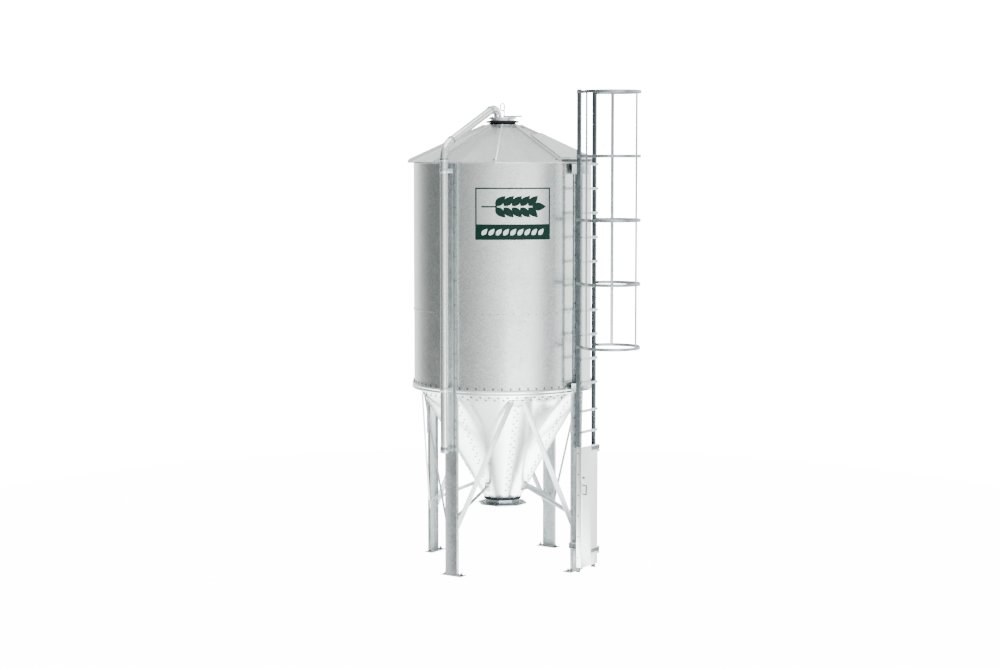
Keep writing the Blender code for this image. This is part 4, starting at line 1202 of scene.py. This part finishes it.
@dataclass
class Legs(Part):
    """Legs, posts, braces and struts, with their bolts."""

    post_bolt_levels: tuple[float, ...] = (1.995, 2.050, 2.105, 2.160)
    joint_bolt_levels: tuple[float, ...] = (1.52, 1.62, 1.72, 1.82)
    post_bolt_aside: float = 0.032
    flange_aside: float = 0.076
    flange_out: float = 0.0053
    flange_bolt_start: float = 0.10
    flange_bolt_end: float = 0.05
    flange_bolt_pitch: float = 0.28
    foot_plate: float = 0.012
    foot_bolt_aside: float = 0.112
    foot_bolt_inset: float = 0.050
    leg_outer: float = 1.0575
    stud_foot: float = 0.006
    stud_height: float = 0.034
    stud_radius: float = 0.008
    flank_facing: float = 0.7

    def build(self) -> None:
        """Dress the sections and add their bolts."""
        for number in range(1, 5):
            for node, name in ((f"leg_{number}", f"folded_leg_{number}"),
                               (f"post_{number}", f"folded_post_{number}"),
                               (f"brace_pair_{number}", f"braces_{number}"),
                               (f"hopper_strut_{number}", f"strut_{number}")):
                section = dressed_copy(node, name, self.finishes.dipped)
                if node.startswith("post"):
                    # The post's side walls get a darker finish as painted shade
                    self.paint_shade_on_flanks(section, 90.0 * (number - 1))
        bolts = self.bolts("frame_bolts")
        foot_bolts = self.bolts("foot_bolts", self.finishes.rail, head_radius=0.016,
                                head_height=0.016, washer_radius=0.024)
        studs = Piece("anchor_studs", self.finishes.plated)
        for number in range(4):
            azimuth = 90.0 * number
            outward = polar(azimuth, 1.0, 0.0)
            if number != 0:
                for z in self.post_bolt_levels:
                    for side in (-1, 1):
                        bolts.add(polar(azimuth, self.silo.post_radius, z,
                                        side * self.post_bolt_aside), outward)
            flange_face = self.silo.shell_radius + self.flange_out
            for side in (-1, 1):
                for z in self.joint_bolt_levels:
                    bolts.add(polar(azimuth, flange_face, z, side * self.flange_aside), outward)
                z = self.silo.ring_top + self.flange_bolt_start
                while z < self.silo.post_top - self.flange_bolt_end:
                    bolts.add(polar(azimuth, flange_face, z, side * self.flange_aside), outward)
                    z += self.flange_bolt_pitch
                foot = polar(azimuth, self.leg_outer - self.foot_bolt_inset, self.foot_plate,
                             side * self.foot_bolt_aside)
                foot_bolts.add(foot, UP)
                studs.tube([foot + UP * self.stud_foot, foot + UP * self.stud_height],
                           self.stud_radius, 12)
        bolts.place()
        foot_bolts.place()
        studs.place(self.silo, None, smooth_deg=40.0)

    def paint_shade_on_flanks(self, post: bpy.types.Object, azimuth: float) -> None:
        """Paint shade on a post's side walls with the matt grey ladder steel, darker than its
        bright face.
        """
        tangent = polar(azimuth, 0.0, 0.0, 1.0)
        # The darker ladder steel on the side walls is painted shade, not a coat of their own
        post.data.materials.append(self.finishes.rail)
        for face in post.data.polygons:
            if abs(face.normal.dot(tangent)) > self.flank_facing:
                face.material_index = 1


# ---- Ladder, cage and guard door


@dataclass
class Ladder(Part):
    """The ladder of folded channel rails and tube rungs, with its wall brackets."""

    rail_width: float = 0.026
    rail_wall: float = 0.003
    rung_depth: float = 0.020
    rung_height: float = 0.030
    rung_wall: float = 0.002
    lower_rungs: tuple[float, float, int] = (0.209, 0.244, 8)
    upper_rungs: tuple[float, float, int] = (2.237, 0.282, 10)

    def rungs(self) -> list[float]:
        """Return the height of each rung's middle."""
        return [start + pitch * index
                for start, pitch, count in (self.lower_rungs, self.upper_rungs)
                for index in range(count)]

    def build(self) -> None:
        """Build the rails and rungs, and dress the brackets."""
        low, high = self.silo.local("ladder")
        front = high.x - self.rung_depth
        ladder = Piece("ladder_rails", self.finishes.rail)
        for side in (-1, 1):
            outer = side * high.y
            inner = side * (high.y - self.rail_width)
            wall = side * self.rail_wall
            outline = [(low.x, outer), (front, outer), (front, inner),
                       (front - self.rail_wall, inner), (front - self.rail_wall, outer - wall),
                       (low.x + self.rail_wall, outer - wall), (low.x + self.rail_wall, inner),
                       (low.x, inner)]
            ladder.loft([[Vector((x, y, z)) for x, y in outline] for z in (low.z, high.z)])
        ladder.place(self.silo, Slot.DIPPED, ("ladder",), rounding=0.0012)

        rungs = Piece("ladder_rungs", self.finishes.dipped)
        bolts = self.bolts("ladder_bolts", head_radius=0.007, washer_radius=0.010)
        for middle in self.rungs():
            loops = []
            for y, wall in ((low.y, 0.0), (high.y, 0.0), (high.y, self.rung_wall),
                            (low.y, self.rung_wall)):
                near, far = front + wall, high.x - wall
                half = self.rung_height / 2 - wall
                bottom, top = middle - half, middle + half
                loops.append([Vector((x, y, z)) for x, z in
                              ((near, bottom), (far, bottom), (far, top), (near, top))])
            rungs.loft(loops, closed=True)
            for side in (-1, 1):
                bolts.add(Vector((high.x, side * (high.y - self.rail_width / 2), middle)),
                          Vector((1.0, 0.0, 0.0)))
        rungs.place(self.silo, Slot.DIPPED, rounding=0.001)
        bolts.place()
        for name in ("foot", "middle", "top"):
            dressed_copy(f"ladder_bracket_{name}", f"ladder_bracket_plate_{name}",
                         self.finishes.dipped)


@dataclass
class Cage(Part):
    """The safety cage: hoops of flat bar round three uprights."""

    radius: float = 0.3326
    centre_out: float = 0.336
    height: float = 0.036
    thickness: float = 0.005
    tab_length: float = 0.025
    rail_gap: float = 0.0003
    levels: tuple[float, float, int] = (2.670, 0.7325, 5)
    bar_angles: tuple[float, ...] = (-120.0, 0.0, 120.0)

    def build(self) -> None:
        """Build the hoops, the uprights and their bolts."""
        low, high = self.silo.local("ladder")
        back = low.x
        middle_x = back + self.tab_length + self.centre_out
        tab = high.y + self.rail_gap + self.thickness / 2
        opening = math.degrees(math.asin(tab / self.radius))
        half = self.thickness / 2
        section = [(-half, -self.height / 2), (half, -self.height / 2), (half, self.height / 2),
                   (-half, self.height / 2)]
        bolts = self.bolts("cage_bolts", head_radius=0.007, washer_radius=0.010)
        bar_face = self.silo.local("cage_bar_2")[0].x - middle_x
        start, pitch, count = self.levels
        for number in range(count):
            level = start + pitch * number
            route = [(Vector((back, -tab, level)), Vector((0.0, -1.0, 0.0)))]
            for degrees in spread(-180.0 + opening, 180.0 - opening, 96):
                turn = math.radians(degrees)
                out = Vector((math.cos(turn), math.sin(turn), 0.0))
                route.append((Vector((middle_x, 0.0, level)) + out * self.radius, out))
            route[1] = (route[1][0], Vector((0.0, -1.0, 0.0)))
            route[-1] = (route[-1][0], Vector((0.0, 1.0, 0.0)))
            route.append((Vector((back, tab, level)), Vector((0.0, 1.0, 0.0))))
            hoop = Piece(f"hoop_{number + 1}", self.finishes.cage)
            hoop.loft([[spot + out * wide + Vector((0.0, 0.0, tall)) for wide, tall in section]
                       for spot, out in route])
            hoop.place(self.silo, Slot.DIPPED, (f"cage_hoop_{number + 1}",), rounding=0.0008,
                       rounding_deg=50.0)
            for side in (-1, 1):
                bolts.add(Vector((back + self.tab_length, side * (tab + half), level)),
                          Vector((0.0, float(side), 0.0)))
            for angle in self.bar_angles:
                turn = math.radians(angle)
                out = Vector((math.cos(turn), math.sin(turn), 0.0))
                bolts.add(Vector((middle_x, 0.0, level)) + out * bar_face, -out)
        bolts.place()
        for number in range(1, 4):
            dressed_copy(f"cage_bar_{number}", f"cage_upright_{number}", self.finishes.cage,
                         rounding=0.001)


@dataclass
class GuardDoor(Part):
    """The lockable sheet door over the lower rungs, with its grip, knob, rivets and hinges."""

    sheet_area: float = 0.1
    face_tolerance: float = 0.0005
    rivet_inset: float = 0.022
    rivet_levels: tuple[float, float, int] = (0.209, 0.244, 6)

    def build(self) -> None:
        """Dress the door and its hinges, darken its grip and knob, and add its rivets."""
        door = dressed_copy("guard_door", "guard_door_sheet", self.finishes.aluminium,
                            rounding=0.0012, body=Body.GUARD)
        door.data.materials.append(self.finishes.rail)
        faces = door.data.polygons
        front = max(face.center.x for face in faces if face.area > self.sheet_area)
        for face in faces:
            if face.center.x > front + self.face_tolerance:
                face.material_index = 1
        for name in ("lower", "upper"):
            dressed_copy(f"guard_hinge_{name}", f"hinge_plate_{name}", self.finishes.dipped)
        low = self.silo.local("guard_door")[0]
        screws = self.bolts("guard_screws", self.finishes.rail, body=Body.GUARD,
                            head_radius=0.006, head_height=0.003, washer_radius=0.009)
        start, pitch, count = self.rivet_levels
        for index in range(count):
            spot = Vector((low.x + self.rivet_inset, low.y, start + pitch * index))
            screws.add(spot, Vector((0.0, -1.0, 0.0)))
        screws.place()


# ---- Sign


@dataclass
class Sign(Part):
    """A cut-vinyl sign on the shell: a thin border round a plain ear over a band of grains."""

    azimuth: float = 41.3
    width: float = 0.886
    low: float = 3.915
    high: float = 4.510
    film: float = 0.0006
    border: float = 0.017
    band: float = 0.178
    grid: float = 0.012
    stalk: tuple[float, float] = (-0.37, -0.19)
    stalk_half: float = 0.009
    ear_pairs: int = 5
    ear_start: float = -0.21
    ear_pitch: float = 0.095
    ear_aside: float = 0.010
    ear_kernel: float = 0.165
    ear_lean: float = 44.0
    tip_start: float = 0.215
    tip_kernel: float = 0.175
    grain_count: int = 9
    grain_start: float = -0.365
    grain_pitch: float = 0.0825
    grain_lift: float = 0.055
    grain_length: float = 0.095
    grain_lean: float = 48.0
    grain_gap: float = 0.0002
    kernel_half: float = 0.27
    kernel_power: float = 0.8
    ring_shares: tuple[float, ...] = (1.0, 0.66, 0.33)

    def on_shell(self, across: float, z: float, lift: float) -> Vector:
        """Return the point on the shell at a distance across from the sign's middle."""
        radius = self.silo.shell_radius
        return polar(self.azimuth + math.degrees(across / radius), radius + lift, z)

    def patch(self, piece: Piece, outline: Profile, base: float = 0.0001) -> None:
        """Add a filled shape to the film.

        Args:
            piece: the piece that takes it.
            outline: a convex outline, as distance across and height.
            base: how far its underside lies off the shell.
        """
        count = len(outline)
        middle = (sum(a for a, _ in outline) / count, sum(z for _, z in outline) / count)
        rings = []
        for share in self.ring_shares:
            rings.append([(middle[0] + (a - middle[0]) * share, middle[1] + (z - middle[1]) * share)
                          for a, z in outline])
        loops = [[self.on_shell(a, z, base) for a, z in rings[0]]]
        loops += [[self.on_shell(a, z, base + self.film) for a, z in ring] for ring in rings]
        rows = [[piece.mesh.verts.new(point) for point in loop] for loop in loops]
        for lower, upper in zip(rows, rows[1:]):
            for index in range(len(lower)):
                following = (index + 1) % len(lower)
                piece.mesh.faces.new((lower[index], lower[following], upper[following],
                                      upper[index]))
        piece.mesh.faces.new(rows[-1])

    def bar(self, piece: Piece, left: float, right: float, low: float, high: float) -> None:
        """Add a rectangle in strips that follow the shell's curve."""
        count = max(1, round((right - left) / self.grid / 2))
        edges = spread(left, right, count)
        for start, end in zip(edges, edges[1:]):
            self.patch(piece, [(start, low), (end, low), (end, high), (start, high)])

    def kernel(self, piece: Piece, across: float, z: float, length: float, lean_deg: float,
               base: float = 0.0001) -> None:
        """Add one pointed kernel of the ear.

        Args:
            piece: the piece that takes it.
            across: its root, across from the sign's middle.
            z: its root's height.
            length: root to tip.
            lean_deg: its lean from level.
            base: how far its underside lies off the shell.
        """
        lean = math.radians(lean_deg)
        outline = []
        for side in (1, -1):
            for share in spread(0.0, 1.0, 10)[:-1]:
                along = share if side == 1 else 1.0 - share
                wide = side * self.kernel_half * math.sin(math.pi * along ** self.kernel_power)
                outline.append((across + length * (along * math.cos(lean) - wide * math.sin(lean)),
                                z + length * (along * math.sin(lean) + wide * math.cos(lean))))
        self.patch(piece, outline, base)

    def build(self) -> None:
        """Build the border, the ear and the band of grains under it."""
        film = Piece("sign_film", self.finishes.vinyl)
        half = self.width / 2
        self.bar(film, -half, half, self.high - self.border, self.high)
        self.bar(film, -half, half, self.low, self.low + self.band)
        for left in (-half, half - self.border):
            self.bar(film, left, left + self.border, self.low + self.band, self.high - self.border)
        middle_z = (self.low + self.band + self.high - self.border) / 2
        self.bar(film, *self.stalk, middle_z - self.stalk_half, middle_z + self.stalk_half)
        for step in range(self.ear_pairs):
            for side in (1, -1):
                self.kernel(film, self.ear_start + self.ear_pitch * step,
                            middle_z + side * self.ear_aside, self.ear_kernel, side * self.ear_lean)
        self.kernel(film, self.tip_start, middle_z, self.tip_kernel, 0.0)
        film.place(self.silo, None, smooth_deg=60.0)

        grains = Piece("sign_grains", self.finishes.pale_vinyl)
        for step in range(self.grain_count):
            self.kernel(grains, self.grain_start + self.grain_pitch * step,
                        self.low + self.grain_lift, self.grain_length, self.grain_lean,
                        self.film + self.grain_gap)
        grains.place(self.silo, None, smooth_deg=60.0)


# ---- Studio


@dataclass(frozen=True)
class CameraFit:
    """The photograph's camera, fitted to the silo's feet, ring, eave and ladder."""

    azimuth: float = 34.466
    distance: float = 22.860
    height: float = 4.851
    aside: float = -0.0296
    pitch: float = 4.205
    focal_px: float = 1917.3
    image_width: float = 1000.0
    sensor: float = 36.0
    shift: float = -0.035
    clip_end: float = 200.0

    def build(self, silo: SiloFrame) -> None:
        """Create the camera and make it the scene's own."""
        data = bpy.data.cameras.new("camera")
        data.sensor_width = self.sensor
        data.lens = self.focal_px / self.image_width * self.sensor
        data.shift_y = self.shift
        data.clip_end = self.clip_end
        camera = bpy.data.objects.new("camera", data)
        bpy.context.collection.objects.link(camera)
        camera.location = silo.axis + polar(self.azimuth, self.distance, self.height, self.aside)
        camera.rotation_euler = (math.radians(90.0 - self.pitch), 0.0, math.radians(self.azimuth))
        bpy.context.scene.camera = camera


@dataclass(frozen=True)
class Studio:
    """A white studio: soft panels of differing brightness round the silo, and a lit floor.

    The wall and the floor's light table have stops of (angle right of the camera's side,
    brightness). The wall is dim to the camera's left and bright to its right, as the shell's
    reflection in the photograph shows, and a low panel stands at the right. The camera itself
    sees plain white behind the silo and on the floor.
    """

    wall: Panels = (
        (-180.0, 2.6), (-150.0, 2.1), (-128.0, 0.70), (-110.0, 0.30),
        (-88.0, 0.26), (-66.0, 0.50), (-45.0, 0.73), (-26.0, 1.10),
        (-8.0, 1.80), (22.0, 1.95), (44.0, 2.60), (58.0, 1.00),
        (68.0, 0.90), (82.0, 2.60), (120.0, 3.00), (180.0, 2.6))
    red_share: float = 0.985
    blue_share: float = 1.01
    camera_side: float = 34.35
    ceiling: float = 1.3
    ceiling_from: float = 0.30
    ceiling_full: float = 0.65
    backdrop: float = 18.0
    floor_radius: float = 9.0
    floor_sides: int = 96
    floor_sunk: float = 0.001
    floor_colour: str = "e4e4e4"
    floor_roughness: float = 0.9
    floor_seen: float = 14.0
    # Dark stops near the legs' azimuths paint the legs' dark reflection bands into the hopper:
    # painted reflection
    floor_glow_with_painted_bands: Panels = (
        (-180.0, 9.0), (-72.0, 9.0), (-56.0, 5.0), (-46.0, 0.6),
        (-36.0, 0.8), (-26.0, 2.8), (-8.0, 6.0), (10.0, 12.0),
        (28.0, 9.0), (38.0, 0.9), (46.0, 0.3), (54.0, 1.0),
        (64.0, 13.0), (120.0, 13.0), (180.0, 9.0))
    floor_grazing: float = 0.45
    low_panel_side: float = 21.0
    low_panel_glow: float = 13.0
    low_panel_top: float = -0.155
    low_panel_full: float = -0.20
    low_panel_edge: tuple[float, float] = (0.93, 0.97)
    table_steep: float = 0.35
    table_grazing: float = 0.75
    light_power: float = 1500.0
    light_size: float = 14.0
    light_place: tuple[float, float, float] = (2.0, -3.0, 14.0)
    light_turn_deg: tuple[float, float, float] = (-12.0, 8.0, 0.0)

    def build(self, silo: SiloFrame) -> None:
        """Build the world, the floor and the ceiling light."""
        self.build_world()
        self.build_floor(silo)
        self.build_light(silo)

    def build_world(self) -> None:
        """Build the wall, the low panel and the ceiling as the world."""
        world = bpy.data.worlds.new("studio_room")
        bpy.context.scene.world = world
        world.use_nodes = True
        tree = world.node_tree
        tree.nodes.clear()
        place = add_node(tree, "ShaderNodeTexCoord").outputs["Generated"]
        parts = add_node(tree, "ShaderNodeSeparateXYZ", links={"Vector": place}).outputs
        ramp = self.round_ramp(tree, place, self.wall)
        high = add_node(tree, "ShaderNodeMapRange",
                        {"From Min": self.ceiling_from, "From Max": self.ceiling_full},
                        {"Value": parts["Z"]})
        room = add_node(tree, "ShaderNodeMix",
                        {"data_type": "RGBA", 7: (self.ceiling, self.ceiling, self.ceiling, 1.0)},
                        {0: high.outputs[0], 6: ramp})
        below = add_node(tree, "ShaderNodeMapRange",
                         {"From Min": self.low_panel_top, "From Max": self.low_panel_full},
                         {"Value": parts["Z"]})
        low = add_node(tree, "ShaderNodeMath", {"operation": "MULTIPLY"},
                       {0: self.low_panel(tree, place), 1: below.outputs[0]})
        glow = self.low_panel_glow
        whole = add_node(tree, "ShaderNodeMix", {"data_type": "RGBA", 7: (glow, glow, glow, 1.0)},
                         {0: low.outputs[0], 6: room.outputs[2]})
        lit = add_node(tree, "ShaderNodeBackground", links={"Color": whole.outputs[2]})
        white = add_node(tree, "ShaderNodeBackground", {"Color": (1.0, 1.0, 1.0, 1.0),
                                                        "Strength": self.backdrop})
        seen = add_node(tree, "ShaderNodeLightPath").outputs["Is Camera Ray"]
        mix = add_node(tree, "ShaderNodeMixShader",
                       links={0: seen, 1: lit.outputs[0], 2: white.outputs[0]})
        add_node(tree, "ShaderNodeOutputWorld", links={"Surface": mix.outputs[0]})

    def round_ramp(self, tree: bpy.types.NodeTree, place: bpy.types.NodeSocket,
                   panels: Panels) -> bpy.types.NodeSocket:
        """Return a brightness that changes round the silo.

        Args:
            tree: the world's or the floor's node tree.
            place: a direction or a position about the silo.
            panels: the stops, from the back by the camera's left to the back again.

        Returns:
            The socket that carries the brightness as a colour.
        """
        parts = add_node(tree, "ShaderNodeSeparateXYZ", links={"Vector": place}).outputs
        front = add_node(tree, "ShaderNodeMath", {"operation": "MULTIPLY", 1: -1.0},
                         {0: parts["Y"]})
        turn = add_node(tree, "ShaderNodeMath", {"operation": "ARCTAN2"},
                        {0: parts["X"], 1: front.outputs[0]})
        share = add_node(tree, "ShaderNodeMath",
                         {"operation": "MULTIPLY_ADD", 1: 1.0 / (2.0 * math.pi),
                          2: 0.5 - self.camera_side / 360.0}, {0: turn.outputs[0]})
        wrapped = add_node(tree, "ShaderNodeMath", {"operation": "FRACT"}, {0: share.outputs[0]})
        ramp = add_node(tree, "ShaderNodeValToRGB", links={"Fac": wrapped.outputs[0]})
        stops = ramp.color_ramp.elements
        stops.remove(stops[1])
        for angle, level in panels:
            stop = stops.new(angle / 360.0 + 0.5)
            stop.color = (level * self.red_share, level, level * self.blue_share, 1.0)
        stops.remove(stops[0])
        return ramp.outputs["Color"]

    def low_panel(self, tree: bpy.types.NodeTree,
                  place: bpy.types.NodeSocket) -> bpy.types.NodeSocket:
        """Return 1 within the low bright panel's sector and 0 away from it.

        Args:
            tree: the world's or the floor's node tree.
            place: a direction or a position about the silo.

        Returns:
            The socket that carries the share.
        """
        level = add_node(tree, "ShaderNodeVectorMath",
                         {"operation": "MULTIPLY", 1: (1.0, 1.0, 0.0)}, {0: place})
        unit = add_node(tree, "ShaderNodeVectorMath", {"operation": "NORMALIZE"},
                        {0: level.outputs[0]})
        middle = polar(self.camera_side + self.low_panel_side, 1.0, 0.0)
        aim = add_node(tree, "ShaderNodeVectorMath", {"operation": "DOT_PRODUCT", 1: middle},
                       {0: unit.outputs[0]})
        start, full = self.low_panel_edge
        share = add_node(tree, "ShaderNodeMapRange", {"From Min": start, "From Max": full},
                         {"Value": aim.outputs["Value"]})
        return share.outputs[0]

    def build_floor(self, silo: SiloFrame) -> None:
        """Build the pale floor, a round sheet lit from below like a light table."""
        material, tree, shader = new_material("pale_floor")
        shader.inputs["Base Color"].default_value = linear(self.floor_colour)
        shader.inputs["Roughness"].default_value = self.floor_roughness
        shader.inputs["Emission Color"].default_value = (1.0, 1.0, 1.0, 1.0)
        seen = add_node(tree, "ShaderNodeLightPath").outputs["Is Camera Ray"]
        # The hopper looks steeply down on the light table and mirrors its full glow; the legs and
        # the outlet see it at a grazing angle, where its louvres hide most of it
        facing = add_node(tree, "ShaderNodeLayerWeight").outputs["Facing"]
        place = add_node(tree, "ShaderNodeTexCoord").outputs["Object"]
        panel = add_node(tree, "ShaderNodeMapRange",
                         {"To Min": self.floor_grazing, "To Max": self.low_panel_glow},
                         {"Value": self.low_panel(tree, place)})
        # The table's dark stops are painted reflection of the dark legs, seen in the hopper
        table = self.round_ramp(tree, place, self.floor_glow_with_painted_bands)
        pool = add_node(tree, "ShaderNodeMapRange",
                        {"From Min": self.table_steep, "From Max": self.table_grazing},
                        {"Value": facing, "To Min": table, "To Max": panel.outputs[0]})
        glow = add_node(tree, "ShaderNodeMix", {"data_type": "FLOAT", 3: self.floor_seen},
                        {0: seen, 2: pool.outputs["Result"]})
        tree.links.new(glow.outputs[0], shader.inputs["Emission Strength"])
        data = bpy.data.meshes.new("studio_floor")
        corners = [(self.floor_radius * math.cos(turn), self.floor_radius * math.sin(turn), 0.0)
                   for turn in turns(self.floor_sides)]
        data.from_pydata(corners, [], [tuple(range(self.floor_sides))])
        data.materials.append(material)
        floor = bpy.data.objects.new("studio_floor", data)
        bpy.context.collection.objects.link(floor)
        floor.location = (silo.axis.x, silo.axis.y, -self.floor_sunk)

    def build_light(self, silo: SiloFrame) -> None:
        """Hang one large soft light over the silo."""
        data = bpy.data.lights.new("ceiling_light", "AREA")
        data.shape = "DISK"
        data.size = self.light_size
        data.energy = self.light_power
        light = bpy.data.objects.new("ceiling_light", data)
        bpy.context.collection.objects.link(light)
        light.location = silo.axis + Vector(self.light_place)
        light.rotation_euler = [math.radians(turn) for turn in self.light_turn_deg]


def main() -> None:
    """Build the silo's looks in order."""
    logging.basicConfig(level=logging.INFO, format="%(message)s")
    silo = SiloFrame.read()
    finishes = Finishes.build()
    roof = Roof(silo, finishes)
    CameraFit().build(silo)
    Studio().build(silo)
    for part in (Shell(silo, finishes), Ring(silo, finishes), Hopper(silo, finishes),
                 Outlet(silo, finishes), roof, Hatch(silo, finishes, roof),
                 TopCover(silo, finishes, roof), FillingPipe(silo, finishes),
                 Legs(silo, finishes), Ladder(silo, finishes), Cage(silo, finishes),
                 GuardDoor(silo, finishes), Sign(silo, finishes)):
        LOG.info("-- %s", type(part).__name__)
        part.build()


if __name__ == "__main__":
    main()
